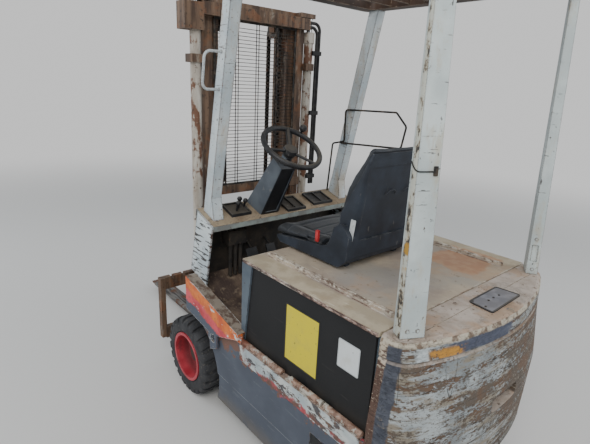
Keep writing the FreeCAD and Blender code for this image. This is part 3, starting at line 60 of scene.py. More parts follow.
def at(x, y, z):
    return Vector((x_at(x), y / 1000, z / 1000))


def colour(code):
    """A hex colour as the linear values that a shader takes."""
    parts = [int(code[i:i + 2], 16) / 255 for i in (0, 2, 4)]
    return (*[((c + 0.055) / 1.055) ** 2.4 if c > 0.04 else c / 12.92 for c in parts], 1)


# Camera, floor and light
YAW, PITCH, ROLL = (math.radians(a) for a in (-41.268, 17.079, 2.762))
EYE = at(-1498.8, 1537.5, 1674.2)
FOCAL = 27.17


def place_camera():
    data = bpy.data.cameras.new("photo_view")
    data.sensor_width = 36
    data.lens = FOCAL
    camera = bpy.data.objects.new("photo_view", data)
    bpy.context.scene.collection.objects.link(camera)
    ahead = Vector((math.cos(YAW) * math.cos(PITCH), math.sin(YAW) * math.cos(PITCH), -math.sin(PITCH)))
    level = Vector((math.sin(YAW), -math.cos(YAW), 0))
    above = level.cross(ahead)
    right = math.cos(ROLL) * level + math.sin(ROLL) * above
    up = math.cos(ROLL) * above - math.sin(ROLL) * level
    turn = Matrix((right, up, -ahead)).transposed().to_4x4()
    camera.matrix_world = Matrix.Translation(EYE) @ turn
    bpy.context.scene.camera = camera


# Shader values: the sums are written as plain expressions
class Value:
    """A socket of a finish, which can be added to numbers and to other sockets, taken from them and so on."""

    def __init__(self, finish, socket):
        self.finish, self.socket = finish, socket

    def sum(self, operation, *values):
        return self.finish.node("Math", {"operation": operation}, *values)

    def __add__(self, other):
        return self.sum("ADD", self, other)

    def __sub__(self, other):
        return self.sum("SUBTRACT", self, other)

    def __rsub__(self, other):
        return self.sum("SUBTRACT", other, self)

    def __mul__(self, other):
        return self.sum("MULTIPLY", self, other)

    def __lt__(self, other):
        return self.sum("LESS_THAN", self, other)

    def __gt__(self, other):
        return self.sum("GREATER_THAN", self, other)

    def __abs__(self):
        return self.sum("ABSOLUTE", self)

    def __or__(self, other):
        return self.sum("MAXIMUM", self, other)

    __radd__ = __add__

    def rise(self, low, high):
        """0 below low, 1 above high and smooth between them; low may be the higher number."""
        if low > high:
            return 1 - self.rise(high, low)
        return self.finish.node("MapRange", {"interpolation_type": "SMOOTHSTEP"}, self, low, high, 0.0, 1.0)

    def between(self, low, high, soft):
        return self.rise(low - soft, low + soft) * self.rise(high + soft, high - soft)

    def over(self, share, shade):
        """This colour with a share of another laid over it."""
        return self.finish.mix(share, self, shade)


class Finish:
    """A material with its nodes; every pattern reads the object's own place."""

    def __init__(self, name):
        self.material = bpy.data.materials.new(name)
        self.material.use_nodes = True
        self.tree = self.material.node_tree
        self.tree.nodes.clear()
        self.place = self.node("TexCoord", {}, out="Object")
        self.x, self.y, self.z = (self.node("SeparateXYZ", {}, self.place, out=i) for i in range(3))

    def node(self, kind, settings, *values, out=0, **named):
        made = self.tree.nodes.new("ShaderNode" + kind)
        for key, value in settings.items():
            setattr(made, key, value)
        for key, value in [*enumerate(values), *named.items()]:
            self.fill(made.inputs[key], value)
        return Value(self, made.outputs[out])

    def fill(self, socket, value):
        """Links a value to a socket, or sets the socket to a number, a place or a colour."""
        if isinstance(value, Value):
            self.tree.links.new(value.socket, socket)
        else:
            socket.default_value = colour(value) if isinstance(value, str) else value

    def noise(self, scale, detail=4, rough=0.55, stretch=(1, 1, 1), shift=(0, 0, 0), twist=0.0):
        moved = self.node("Mapping", {}, self.place, shift, (0, 0, 0), stretch)
        return self.node("TexNoise", {}, Vector=moved, Scale=scale, Detail=detail, Roughness=rough,
                         Distortion=twist)

    def cells(self, scale):
        return self.node("TexVoronoi", {}, Vector=self.place, Scale=scale)

    def mix(self, share, first, second):
        """Two colours mixed; a colour is a socket or a hex code."""
        made = self.node("Mix", {"data_type": "RGBA", "clamp_factor": True}, out=2)
        for index, value in ((0, share), (6, first), (7, second)):
            self.fill(made.socket.node.inputs[index], value)
        return made

    def facing(self, axis=2):
        """How far a face looks along X, Y or Z."""
        normal = self.node("NewGeometry", {}, out="Normal")
        return self.node("SeparateXYZ", {}, normal, out=axis)

    def edge(self, radius):
        """1 near an edge of the solid, 0 on its flats."""
        normal = self.node("NewGeometry", {}, out="Normal")
        rounded = self.node("Bevel", {"samples": 3}, radius)
        agree = self.node("VectorMath", {"operation": "DOT_PRODUCT"}, rounded, normal, out="Value")
        return (1 - agree).rise(0.01, 0.12)

    def bump(self, height, depth):
        return self.node("Bump", {}, Strength=1.0, Distance=depth, Height=height)

    def done(self, base, rough, metal=0.0, normal=None, sheen=0.0):
        shader = self.tree.nodes.new("ShaderNodeBsdfPrincipled")
        for key, value in (("Base Color", base), ("Roughness", rough), ("Metallic", metal),
                           ("Sheen Weight", sheen)):
            self.fill(shader.inputs[key], value)
        if normal is not None:
            self.fill(shader.inputs["Normal"], normal)
        output = self.tree.nodes.new("ShaderNodeOutputMaterial")
        self.tree.links.new(shader.outputs[0], output.inputs[0])
        return self.material


# Paint finishes
BARE_RUST, DEEP_RUST = "6B4630", "3A2A22"
DUST = "9E9078"


def dusted(f, base, amount, shade=DUST):
    """Dust that settles on what looks up, more in patches."""
    lying = f.facing().rise(0.45, 0.95) * f.noise(5, 5).rise(0.25, 0.7)
    return f.mix(lying * amount, base, shade)


def pale_paint(name="pale_paint_chipped", dashes=0.0):
    f = Finish(name)
    grain = f.noise(60, 6, 0.65)
    rim = f.edge(0.009)
    base = f.mix(f.noise(6, 5).rise(0.35, 0.68), "B7C3C9", "D3DBDD")
    base = base.over(f.noise(3, 6, 0.7, stretch=(3, 3, 1), shift=(0, 2, 5)).rise(0.50, 0.72) * 0.7, "B5A285")
    # Thin cracks run across, dirt gathers along the edges
    scratch = f.noise(1, 5, 0.6, stretch=(14, 14, 190), shift=(3, 1, 0))
    base = base.over(scratch.rise(0.65, 0.68), "564F4C")
    if dashes:
        dash = f.noise(1, 4, 0.55, stretch=(12, 12, 75), shift=(6, 2, 3), twist=0.25) + f.z.rise(1.15,
                                                                                                 0.85) * 0.05
        base = base.over(dash.rise(dashes, dashes + 0.015), "3A3636")
    base = base.over(rim * f.noise(12, 5, 0.7).rise(0.40, 0.58) * 0.75, "7D6A55")
    worn = grain + rim * 0.26
    base = base.over(worn.rise(0.60, 0.665) * 0.55, "8A6A4E")
    chips = worn.rise(0.665, 0.677)
    base = base.over(chips, f.mix(f.noise(25, 3).rise(0.4, 0.6), "2F343C", BARE_RUST))
    specks = f.noise(75, 2, 0.5, shift=(4, 4, 4)).rise(0.715, 0.73)
    base = base.over(specks, "2E2E31")
    rough = 0.42 + f.noise(12, 4) * 0.2 + chips * 0.3
    return f.done(dusted(f, base, 0.35), rough, normal=f.bump(chips * -1.0 + f.noise(90, 3) * 0.25, 0.0006))


def post_paint():
    """The rear posts: the narrow sides are worn dark, the broad ones carry small marks."""
    f = Finish("rear_post_paint")
    base = f.mix(f.noise(6, 5).rise(0.35, 0.68), "B9C3C3", "D2DBDA")
    base = base.over(f.noise(4, 6, 0.7, stretch=(4, 4, 1.5)).rise(0.50, 0.70) * 0.6, "B9AD93")
    scratch = f.noise(1, 4, 0.6, stretch=(16, 16, 150), shift=(3, 1, 0)).rise(0.66, 0.68)
    nick = f.noise(1, 3, 0.6, stretch=(60, 60, 22), shift=(1, 5, 2)).rise(0.68, 0.70)
    base = base.over((scratch | nick) * 0.85, "4A4745")
    side = f.facing(1).rise(0.78, 0.86) * f.y.rise(-0.01, 0.01)
    side = side | f.facing(0).rise(-0.78, -0.86) * f.y.rise(0.01, -0.01) * f.z.rise(1.25, 1.05)
    height = f.z.rise(2.0, 1.0)
    grime = f.noise(1, 6, 0.75, stretch=(30, 30, 22), shift=(2, 0, 4)) + height * 0.06
    dirty = f.mix(grime.rise(0.52, 0.60), "C3C4B8", "8D7B60")
    dirty = dirty.over(grime.rise(0.58, 0.61), "37322F")
    base = base.over(side, dirty)
    ochre = f.z.between(1.17, 1.26, 0.02) * side * f.noise(30, 5, 0.7).rise(0.47, 0.53)
    base = base.over(ochre, "B58A35")
    rim = f.edge(0.005)
    worn = (f.noise(55, 6, 0.7) + rim * 0.30).rise(0.66, 0.68)
    base = base.over(worn, f.mix(f.noise(25, 3).rise(0.4, 0.6), "2F3033", "5E4636"))
    return f.done(base, 0.45 + f.noise(12, 4) * 0.2, normal=f.bump((worn | scratch) * -1.0, 0.0006))


def counterweight_paint():
    f = Finish("counterweight_flaked_paint")
    # Long thin layers of paint, broken into small flakes, with more bare steel towards the right
    band = f.noise(1, 3, 0.5, stretch=(2.4, 2.4, 25))
    fleck = f.noise(1, 6, 0.75, stretch=(48, 48, 120), shift=(1, 4, 2))
    cloud = f.noise(4, 5, 0.6, shift=(2, 0, 1))
    right = f.y.rise(0.26, -0.30)
    pale = f.mix(f.noise(9, 5).rise(0.35, 0.65), "80878A", "A9B0B2")
    pale = pale.over(f.noise(1, 5, 0.7, stretch=(7, 7, 30), shift=(6, 0, 0)).rise(0.47, 0.60) * 0.9, "857A68")
    rusty = f.mix(f.noise(14, 5).rise(0.4, 0.6), "5C5248", "66503F")
    thin = (band * 0.45 + fleck * 0.55 + cloud * 0.3 + right * 0.07).rise(0.635, 0.695)
    flaked = thin.rise(0.55, 0.8)
    base = f.mix(thin, f.mix(fleck.rise(0.5, 0.62) * 0.6, pale, "80796C"), rusty)
    crumbs = f.noise(1, 5, 0.7, stretch=(90, 90, 150), shift=(2, 2, 6))
    base = base.over(crumbs.rise(0.60, 0.63) * right, "B3AC9C")
    base = base.over(crumbs.rise(0.42, 0.39) * 0.8, "53483E")
    # Dark lines part the layers; a few cracks stand upright
    apart = abs(f.noise(1, 2, 0.4, stretch=(1.5, 1.5, 26), shift=(5, 5, 5)) - 0.5)
    seam = apart.rise(0.010, 0.003) * cloud.rise(0.36, 0.5)
    crack = abs(f.noise(1, 2, 0.4, stretch=(8, 8, 1.4), shift=(7, 1, 3)) - 0.5).rise(0.004, 0.001)
    crack = crack * f.noise(1, 3, 0.5, stretch=(5, 5, 16), shift=(3, 8, 0)).rise(0.54, 0.57)
    base = base.over((seam | crack) * 0.85, "332C28")
    # The band round the corner keeps its old blue, with a brown strip before it
    ragged = f.noise(24, 6, 0.7, shift=(0, 3, 0)) - 0.5
    corner = (f.x + ragged * 0.022).between(x_at(-834), x_at(-789), 0.003) * f.facing(0).rise(0.02, -0.10)
    corner = corner * f.noise(10, 6, 0.7).rise(0.66, 0.56)
    base = base.over(corner, f.mix(f.noise(30, 4).rise(0.4, 0.6), "3C404B", "4D515C"))
    strip = (f.x + ragged * 0.012).rise(x_at(-794), x_at(-788))
    flecks = (fleck * 0.6 + cloud * 0.5 + f.z.rise(0.62, 0.36) * 0.06).rise(0.60, 0.63)
    base = base.over(strip, f.mix(flecks, "563F34", "BDB09C"))
    # The collar: a cream rim, then bare blue, an orange patch and one of white
    rear = f.facing(0).rise(0.0, -0.2)
    torn = f.noise(11, 6, 0.7, shift=(0, 3, 0)) - 0.5
    collar = (f.z + torn * 0.03).between(0.872, 0.919, 0.004)
    blue = (f.y + torn * 0.2).between(0.03, 0.34, 0.02) * collar
    base = base.over(blue * rear, "4A5062")
    white = (f.y + torn * 0.05).between(0.415, 0.455, 0.006) * collar
    base = base.over(white, "BEC6C8")
    amber = (f.y + torn * 0.12).between(0.29, 0.41, 0.02) * f.z.between(0.868, 0.905, 0.008)
    base = base.over(amber * rear * f.noise(26, 5, 0.7).rise(0.45, 0.50), "C08A3A")
    cream = (f.z + torn * 0.02).rise(0.916, 0.924)
    base = base.over(cream, f.mix(f.noise(30, 5, 0.7).rise(0.48, 0.60), "BDB4A2", "7A6858"))
    lid = f.mix(f.noise(8, 6, 0.65).rise(0.4, 0.65), "B7ABA0", "9A8B7D")
    lid = lid.over(f.noise(5, 4, 0.6, shift=(9, 0, 0)).rise(0.52, 0.62) * 0.6, "A98A6E")
    lid = lid.over(f.noise(45, 5, 0.7).rise(0.62, 0.65), "5B4A3D")
    base = base.over(f.facing().rise(0.5, 0.85), lid)
    base = base.over(f.z.rise(0.46, 0.30) * 0.6, "3B3733")
    height = flaked * -1.0 + fleck * 0.6 - (seam | crack)
    return f.done(base, 0.6 + flaked * 0.2, normal=f.bump(height, 0.0016))


def hood_paint():
    f = Finish("hood_dusty_paint")
    rim = f.edge(0.010)
    cloud = f.noise(4, 6, 0.65)
    base = f.mix(cloud.rise(0.35, 0.68), "94867A", "B6A791")
    base = base.over(f.noise(2.2, 4, shift=(3, 0, 0)).rise(0.5, 0.68) * 0.7, "918E88")
    base = base.over(f.noise(3, 5, 0.6, shift=(0, 6, 0)).rise(0.52, 0.66) * 0.5, "B08B68")
    base = base.over(f.noise(30, 6, 0.7).rise(0.60, 0.66) * 0.5, "6F5A45")
    # Along the side the sheet is cream and rubbed
    border = abs(f.y).rise(0.405, 0.425)
    base = base.over(border * 0.7, f.mix(f.noise(15, 5).rise(0.4, 0.6), "B9AD94", "A3957C"))
    scuff = f.noise(1, 5, 0.6, stretch=(6, 60, 6), shift=(0, 1, 0)).rise(0.66, 0.70)
    base = base.over(scuff * 0.7, "CFC7B4")
    rusty = f.noise(7, 5, 0.6, shift=(1, 1, 0)) - 0.5
    stain = (f.x + rusty * 0.12).between(x_at(-690), x_at(-440), 0.012)
    stain = stain * (f.y + rusty * 0.12).between(-0.46, -0.17, 0.012) * f.facing().rise(0.6, 0.9)
    base = base.over(stain * 0.85, f.mix(f.noise(20, 4).rise(0.4, 0.6), "A87C5E", "B18B6C"))
    # The ridge and the turned-down edge are flaked to bare steel
    ridge = f.z.rise(0.948, 0.954) * f.noise(1, 5, 0.7, stretch=(16, 70, 70)).rise(0.47, 0.52)
    base = base.over(ridge, f.mix(f.noise(40, 4).rise(0.45, 0.55), "CDC6B6", "6A5B4E"))
    turned = abs(f.facing(1)).rise(0.5, 0.8) * f.z.rise(0.948, 0.944)
    flaky = f.noise(1, 6, 0.7, stretch=(26, 26, 90), shift=(0, 2, 1))
    edge_tone = f.mix(flaky.rise(0.47, 0.53), "4B3E39", "A58D81")
    base = base.over(turned, f.mix(flaky.rise(0.58, 0.60), edge_tone, "CFC9BC"))
    chips = (f.noise(38, 6, 0.7) + rim * 0.25).rise(0.69, 0.705)
    base = base.over(chips, f.mix(f.noise(9, 3).rise(0.45, 0.6), "5B3A30", "D8D3C6"))
    # Faces that look down get a flat dark brown: painted shade on the hood's undersides
    shaded_underside = f.facing().rise(-0.2, -0.6)
    base = base.over(shaded_underside, "57493E")
    return f.done(base, 0.62 + cloud * 0.2, normal=f.bump(chips * -1.0 + f.noise(70, 4) * 0.3, 0.0008))


def side_paint():
    f = Finish("lower_side_blue_grey")
    cloud = f.noise(4, 6, 0.6)
    base = f.mix(cloud.rise(0.35, 0.7), "444B58", "565D69")
    base = base.over(f.noise(1, 5, 0.65, stretch=(9, 9, 60)).rise(0.60, 0.64) * 0.22, "7E8388")
    # A pale line along the crease in the sheet: painted highlight
    crease_highlight = f.z.between(0.2655, 0.2735, 0.002) * f.noise(14, 4).rise(0.35, 0.5)
    base = base.over(crease_highlight * 0.8, "A9AFB4")
    # Old red and brown streaks hang below the sill
    drip = f.noise(1, 5, 0.65, stretch=(13, 13, 5), shift=(0, 0, 3))
    near_sill = f.z.rise(0.38, 0.50)
    base = base.over((drip + near_sill * 0.24).rise(0.76, 0.80), "A84D55")
    base = base.over((f.noise(18, 6, 0.7) + near_sill * 0.26).rise(0.72, 0.75), "6F5144")
    chips = (f.noise(50, 5, 0.65) + f.edge(0.006) * 0.25).rise(0.70, 0.715)
    base = base.over(chips, f.mix(f.noise(20, 2).rise(0.45, 0.6), DEEP_RUST, "9A9389"))
    dirt = f.z.rise(0.22, 0.11) * f.noise(9, 5).rise(0.2, 0.6)
    base = base.over(dirt * 0.6, "6B6152")
    return f.done(base, 0.48 + cloud * 0.2, normal=f.bump(chips * -1.0, 0.0006))


def fender_paint():
    f = Finish("fender_orange_and_red")
    # The two colours part along a line that falls towards the rear, as the fender's top does
    slope = 0.2279
    down = 0.595 + (f.x - x_at(-30)) * slope - f.z
    ragged = f.noise(9, 6, 0.7, stretch=(1, 1, 1.6)) - 0.5
    depth = down + ragged * 0.09
    orange = f.mix(f.noise(16, 5).rise(0.35, 0.65), "C4552A", "E07B35")
    pink = f.mix(f.noise(12, 4).rise(0.35, 0.65), "B5363F", "D9545C")
    base = f.mix(depth.rise(0.062, 0.074), orange, pink)
    base = base.over(depth.rise(0.118, 0.128), "4A5260")
    slash = f.noise(1, 5, 0.6, stretch=(16, 16, 34), shift=(0, 0, 1), twist=0.6)
    base = base.over(slash.rise(0.61, 0.64), "CFCFCB")
    base = base.over(f.noise(34, 6, 0.7).rise(0.60, 0.63) * 0.8, "77604F")
    top = f.facing().rise(0.6, 0.9)
    base = base.over(top, f.mix(f.noise(20, 5, 0.7).rise(0.45, 0.6), "8C8174", "5C4A3E"))
    # The fender's inner faces that don't look up get a flat dark brown: painted shade inside the fender
    shaded_inner_faces = (abs(f.y) < 0.531) * f.facing().rise(0.5, 0.2)
    base = base.over(shaded_inner_faces * 0.85, "494038")
    chips = (f.noise(48, 5, 0.65) + f.edge(0.006) * 0.3).rise(0.68, 0.70)
    base = base.over(chips, f.mix(f.noise(15, 2).rise(0.4, 0.55), BARE_RUST, "D2D4D2"))
    return f.done(base, 0.46 + f.noise(10) * 0.2, normal=f.bump(chips * -1.0, 0.0007))


def sill_paint():
    f = Finish("sill_flaking_white")
    flake = f.noise(1, 7, 0.72, stretch=(16, 16, 44))
    chunk = f.noise(13, 6, 0.7, shift=(0, 2, 0))
    base = f.mix(f.noise(8, 4).rise(0.4, 0.6), "C7CBC8", "A7B2B5")
    base = base.over((flake * 0.6 + chunk * 0.4).rise(0.535, 0.555),
                     f.mix(chunk.rise(0.5, 0.6), "6E5546", "4C4A4C"))
    torn = f.noise(12, 6, 0.7, shift=(2, 2, 0)) - 0.5
    red = (f.z + torn * 0.09).rise(0.492, 0.480) * f.noise(5, 5, 0.65, shift=(5, 0, 0)).rise(0.50, 0.54)
    base = base.over(red, f.mix(chunk.rise(0.45, 0.55), "A9474D", "6D4C44"))
    lip = f.z.rise(0.542, 0.550)
    bare = f.mix(f.noise(18, 6, 0.7).rise(0.44, 0.56), "A58877", "75594A")
    base = base.over(lip, f.mix(f.noise(26, 6, 0.7, shift=(3, 3, 0)).rise(0.52, 0.58), bare, "B9B3A8"))
    front = f.x.rise(x_at(-95), x_at(-60))
    base = base.over(front * chunk.rise(0.42, 0.55), "7A4A38")
    chips = (f.noise(55, 5, 0.65) + f.edge(0.005) * 0.2).rise(0.67, 0.69)
    base = base.over(chips, DEEP_RUST)
    height = (flake * 0.6 + chunk * 0.4).rise(0.535, 0.555) * -1.0 + chunk * 0.5
    return f.done(base, 0.6, normal=f.bump(height, 0.0014))


def battery_box_paint():
    f = Finish("battery_box_blue_grey")
    base = f.mix(f.noise(5, 5).rise(0.35, 0.65), "4B5763", "5D6973")
    # The part ahead of the hood's front edge, inside the side walls, is made a flat darker brown
    darker_ahead_of_hood = f.x.rise(x_at(-10), x_at(-2)) * (abs(f.y) < 0.495)
    base = base.over(darker_ahead_of_hood * 0.8, "4A423B")
    chips = (f.noise(50, 5) + f.edge(0.005) * 0.2).rise(0.70, 0.715)
    base = base.over(chips, DEEP_RUST)
    return f.done(base, 0.5 + f.noise(9) * 0.2, normal=f.bump(chips * -1.0, 0.0005))


def black_panel():
    f = Finish("side_panel_black")
    cloud = f.noise(3.5, 5, 0.6)
    base = f.mix(cloud.rise(0.4, 0.75), "101113", "1B1B1D")
    scuff = f.noise(1, 6, 0.6, stretch=(9, 9, 60), twist=0.3).rise(0.66, 0.70)
    base = base.over(scuff * 0.3, "3F3C3A")
    low = f.z.rise(0.62, 0.52) * f.noise(9, 5).rise(0.3, 0.6)
    base = base.over(low * 0.35, "5B5145")
    return f.done(base, 0.62 + cloud * 0.25, normal=f.bump(f.noise(120, 3), 0.0003))


def cover_paint():
    f = Finish("cover_plate_grey_blue")
    base = f.mix(f.noise(18, 5).rise(0.4, 0.65), "62646E", "7F8089")
    chips = (f.noise(50, 5) + f.edge(0.004) * 0.2).rise(0.69, 0.71)
    base = base.over(chips, "8B7B66")
    rim = f.z.rise(COVER_FACE + 0.0008, COVER_FACE + 0.0014) | f.facing().rise(0.6, 0.4)
    base = base.over(rim, "26272B")
    pin = f.x.rise(x_at(-925), x_at(-926))
    base = base.over(pin, "8B7A69")
    return f.done(dusted(f, base, 0.2), 0.55, normal=f.bump(chips, 0.0004))


def dark_frame():
    f = Finish("frame_grease_and_dust")
    grime = f.noise(9, 6, 0.65)
    base = f.mix(grime.rise(0.35, 0.7), "262524", "4A4239")
    base = base.over(f.noise(40, 5, 0.7).rise(0.62, 0.68) * 0.6, "6B5442")
    return f.done(dusted(f, base, 0.5, "7A6C5B"), 0.5 + grime * 0.4,
                  normal=f.bump(grime + f.noise(90, 3) * 0.3, 0.001))


def floor_finish():
    f = Finish("floor_worn_mat")
    ribs = f.node("Math", {"operation": "SINE"}, f.y * 420)
    base = f.mix(f.noise(6, 6, 0.65).rise(0.35, 0.65), "4A3C36", "7A6858")
    base = base.over(f.noise(25, 5, 0.7).rise(0.55, 0.62) * 0.6, "8E7D68")
    return f.done(base, 0.8, normal=f.bump(ribs * 0.5 + f.noise(60, 4), 0.0008))


def roof_paint():
    f = Finish("roof_brown_dusty")
    base = f.mix(f.noise(7, 6, 0.65).rise(0.35, 0.65), "3A2E28", "5A463A")
    chips = (f.noise(40, 5) + f.edge(0.006) * 0.25).rise(0.67, 0.69)
    base = base.over(chips, "9A8A78")
    outer = (abs(f.y) > 0.462) | (f.x > x_at(252))
    base = base.over(outer * f.noise(30, 5, 0.7).rise(0.60, 0.5), "A9B0B2")
    return f.done(dusted(f, base, 0.7), 0.6, normal=f.bump(chips * -1.0, 0.0006))


def cowl_paint():
    f = Finish("cowl_dusty_top")
    top = f.facing().rise(0.5, 0.85)
    cloud = f.noise(8, 6, 0.65)
    tan = f.mix(cloud.rise(0.35, 0.65), "7D6B56", "A3937B")
    tan = tan.over(f.noise(32, 5, 0.7).rise(0.58, 0.64) * 0.7, "4F4238")
    pale = f.mix(cloud.rise(0.4, 0.6), "8E9894", "7A7B78")
    base = f.mix(top, pale, tan)
    worn = (f.noise(50, 5) + f.edge(0.006) * 0.22).rise(0.67, 0.69)
    base = base.over(worn, "54453A")
    return f.done(base, 0.65 + cloud * 0.2, normal=f.bump(f.noise(60, 4), 0.0007))


# Mast finishes
def mast_steel(name="mast_rusty_steel", warm=0.5):
    f = Finish(name)
    streak = f.noise(1, 6, 0.65, stretch=(26, 26, 3))
    cloud = f.noise(10, 6, 0.7, shift=(1, 0, 2))
    base = f.mix(streak.rise(0.38, 0.64), "4A3A30", "7B6350")
    base = base.over(cloud.rise(0.52, 0.62) * warm, "8A5B3C")
    base = base.over(f.noise(6, 5, 0.7, stretch=(4, 4, 1), shift=(0, 0, 7)).rise(0.60, 0.66) * 0.6, "9C9284")
    base = base.over(f.noise(40, 4, 0.7).rise(0.60, 0.66) * 0.8, "29231F")
    worn = f.edge(0.004) * f.noise(20).rise(0.4, 0.55)
    base = base.over(worn * 0.5, "A39889")
    return f.done(base, 0.55 + cloud * 0.25, metal=0.15 + worn * 0.3,
                  normal=f.bump(cloud + f.noise(80, 4) * 0.5, 0.0008))


def cylinder_paint():
    f = Finish("cylinder_off_white_rusting")
    streak = f.noise(1, 6, 0.65, stretch=(20, 20, 4))
    cloud = f.noise(8, 6, 0.7)
    base = f.mix(streak.rise(0.35, 0.6), "C9C4BA", "A79D90")
    base = base.over((cloud * 0.6 + streak * 0.4).rise(0.52, 0.56), "6E4B37")
    base = base.over(f.noise(30, 6, 0.7).rise(0.60, 0.63), "4B3529")
    return f.done(base, 0.55, normal=f.bump(cloud, 0.0007))


def rod_chrome():
    f = Finish("rod_chrome_oily")
    film = f.noise(1, 4, stretch=(30, 30, 2))
    base = f.mix(film.rise(0.4, 0.65), "C9CACB", "9A958C")
    return f.done(base, 0.12 + film * 0.25, metal=1.0)


def chain_steel():
    f = Finish("chain_oiled_steel")
    base = f.mix(f.noise(60, 5).rise(0.4, 0.6), "2B2724", "544A42")
    base = base.over(f.noise(25, 4, 0.7).rise(0.58, 0.66), "6E4A34")
    return f.done(base, 0.35 + f.noise(30) * 0.3, metal=0.6)


def fork_steel():
    f = Finish("fork_scraped_steel")
    scrape = f.noise(1, 6, 0.65, stretch=(4, 60, 60))
    base = f.mix(scrape.rise(0.4, 0.62), "3A3634", "8A8681")
    base = base.over(f.noise(12, 6, 0.7).rise(0.52, 0.60), "6A452F")
    return f.done(base, 0.4 + scrape * 0.3, metal=0.5, normal=f.bump(scrape, 0.0005))


def wire_steel():
    f = Finish("wire_dark_coated")
    base = f.mix(f.noise(30, 4).rise(0.45, 0.65), "23211F", "564A3E")
    return f.done(base, 0.5 + f.noise(40) * 0.2, metal=0.2)


def rim_red(name, outer):
    """Red rims with patches of grime, and painted shade on the recessed disc behind their outer edge."""
    f = Finish(name)
    base = f.mix(f.noise(12, 5).rise(0.35, 0.65), "A52E39", "C04650")
    chips = (f.noise(70, 5, 0.65) + f.edge(0.004) * 0.15).rise(0.69, 0.70)
    base = base.over(chips, "4A2A28")
    # Noise patches of grime, joined with painted shade that darkens the disc inward of the outer edge
    grime = f.noise(20, 5, 0.7).rise(0.55, 0.66) * 0.5 | abs(f.y).rise(outer - 0.020, outer - 0.070) * 0.6
    base = base.over(grime, "4E3334")
    return f.done(base, 0.45 + grime * 0.4, normal=f.bump(chips * -1.0, 0.0005))


def tyre_rubber():
    f = Finish("tyre_worn_rubber")
    cloud = f.noise(14, 5)
    base = f.mix(cloud.rise(0.35, 0.65), "28292C", "3D3D3F")
    base = base.over(f.noise(50, 5, 0.7).rise(0.58, 0.66) * 0.5, "6B655C")
    return f.done(base, 0.75 + cloud * 0.15, normal=f.bump(f.noise(160, 4) + f.noise(30, 3), 0.0006))


def hose_rubber():
    f = Finish("hose_black_rubber")
    base = f.mix(f.noise(30, 4).rise(0.4, 0.7), "17171A", "34312E")
    return f.done(base, 0.55 + f.noise(50) * 0.2)


# Cab finishes
def vinyl():
    f = Finish("seat_vinyl")
    pebble = f.cells(420)
    cloud = f.noise(9, 4)
    base = f.mix(cloud.rise(0.35, 0.7), "14181E", "232932")
    base = base.over(f.noise(14, 5, 0.65).rise(0.56, 0.68) * 0.25, "56524D")
    return f.done(dusted(f, base, 0.2, "5A564F"), 0.42 + cloud * 0.2,
                  normal=f.bump(pebble * 0.6 + f.noise(60, 3) * 0.6, 0.0005), sheen=0.1)


def moulded(name, dark, light, rough=0.5, dust=0.2):
    f = Finish(name)
    cloud = f.noise(11, 5)
    base = f.mix(cloud.rise(0.35, 0.7), dark, light)
    rub = f.edge(0.004) * f.noise(22).rise(0.45, 0.6)
    base = base.over(rub * 0.4, "8C8C8A")
    base = base.over(f.noise(1, 5, 0.6, stretch=(40, 40, 12)).rise(0.66, 0.69) * 0.4, "77736C")
    return f.done(dusted(f, base, dust), rough + cloud * 0.2, normal=f.bump(f.noise(260, 2), 0.0003))


def column_cover():
    """Grey at the front and sides, black where it looks back."""
    f = Finish("column_cover_moulding")
    cloud = f.noise(11, 5)
    grey = f.mix(cloud.rise(0.35, 0.7), "4A515A", "5C646C")
    grey = grey.over(f.noise(30, 5, 0.7).rise(0.62, 0.66) * 0.5, "7A7B78")
    black = f.mix(cloud.rise(0.4, 0.7), "14151A", "22242A")
    base = f.mix(f.facing(0).rise(-0.45, -0.70), grey, black)
    return f.done(dusted(f, base, 0.15), 0.5 + cloud * 0.2, normal=f.bump(f.noise(260, 2), 0.0003))


def battery_case():
    f = Finish("battery_case_grey")
    base = f.mix(f.noise(8, 5).rise(0.4, 0.65), "3B4147", "565C60")
    return f.done(dusted(f, base, 0.5), 0.6)


FINISHES = {
    "side_panels": side_paint, "front_fenders": fender_paint, "sills": sill_paint,
    "battery_box": battery_box_paint,
    "battery_side_panels": black_panel, "battery": battery_case, "counterweight": counterweight_paint,
    "floor_plate": floor_finish, "cowl_beam": cowl_paint,
    "battery_hood": hood_paint, "guard_roof": roof_paint, "forks": fork_steel,
    "lift_cylinders": cylinder_paint,
    "mast_hoses": hose_rubber}
SHARED = [
    (dark_frame, ["main_frame", "front_bulkhead", "drive_axle", "steer_axle", "steer_knuckle_left",
                  "steer_knuckle_right"]),
    (pale_paint, ["guard_posts_front", "guard_posts_rear"]),
    (mast_steel, ["mast_outer_frame", "mast_inner_frame", "carriage_frame", "tilt_cylinder_barrels"]),
    (rod_chrome, ["lift_rods", "tilt_cylinder_rods"]),
    (chain_steel, ["chain_pulleys", "lift_chains_front", "lift_chains_rear"]),
    (wire_steel, ["mast_mesh_guard", "document_frame"]),
    (tyre_rubber, ["front_tyre_left", "front_tyre_right", "rear_tyre_left", "rear_tyre_right"]),
    (vinyl, ["seat_cushion", "seat_backrest"])]


def dress_frame():
    """Gives every node of the frame its finish."""
    made = {}
    for node, finish in FINISHES.items():
        made[node] = finish()
    for finish, nodes in SHARED:
        material = finish()
        made.update({node: material for node in nodes})
    for end, outer in (("front", 0.565), ("rear", 0.500)):
        material = rim_red(end + "_rim_red_paint", outer)
        made.update({f"{end}_rim_{side}": material for side in ("left", "right")})
    made["seat_shell"] = moulded("seat_shell_moulding", "1B212B", "2A323E", dust=0.1)
    made["cowl_legs"] = pale_paint("cowl_leg_paint", 0.60)
    made["steering_column"] = column_cover()
    black = moulded("black_moulding", "16171A", "27272A", 0.4)
    made.update({node: black for node in ("steering_wheel", "cowl_controls", "pedals")})
    for node, material in made.items():
        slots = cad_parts[node].data.materials
        slots.clear()
        slots.append(material)
    return made


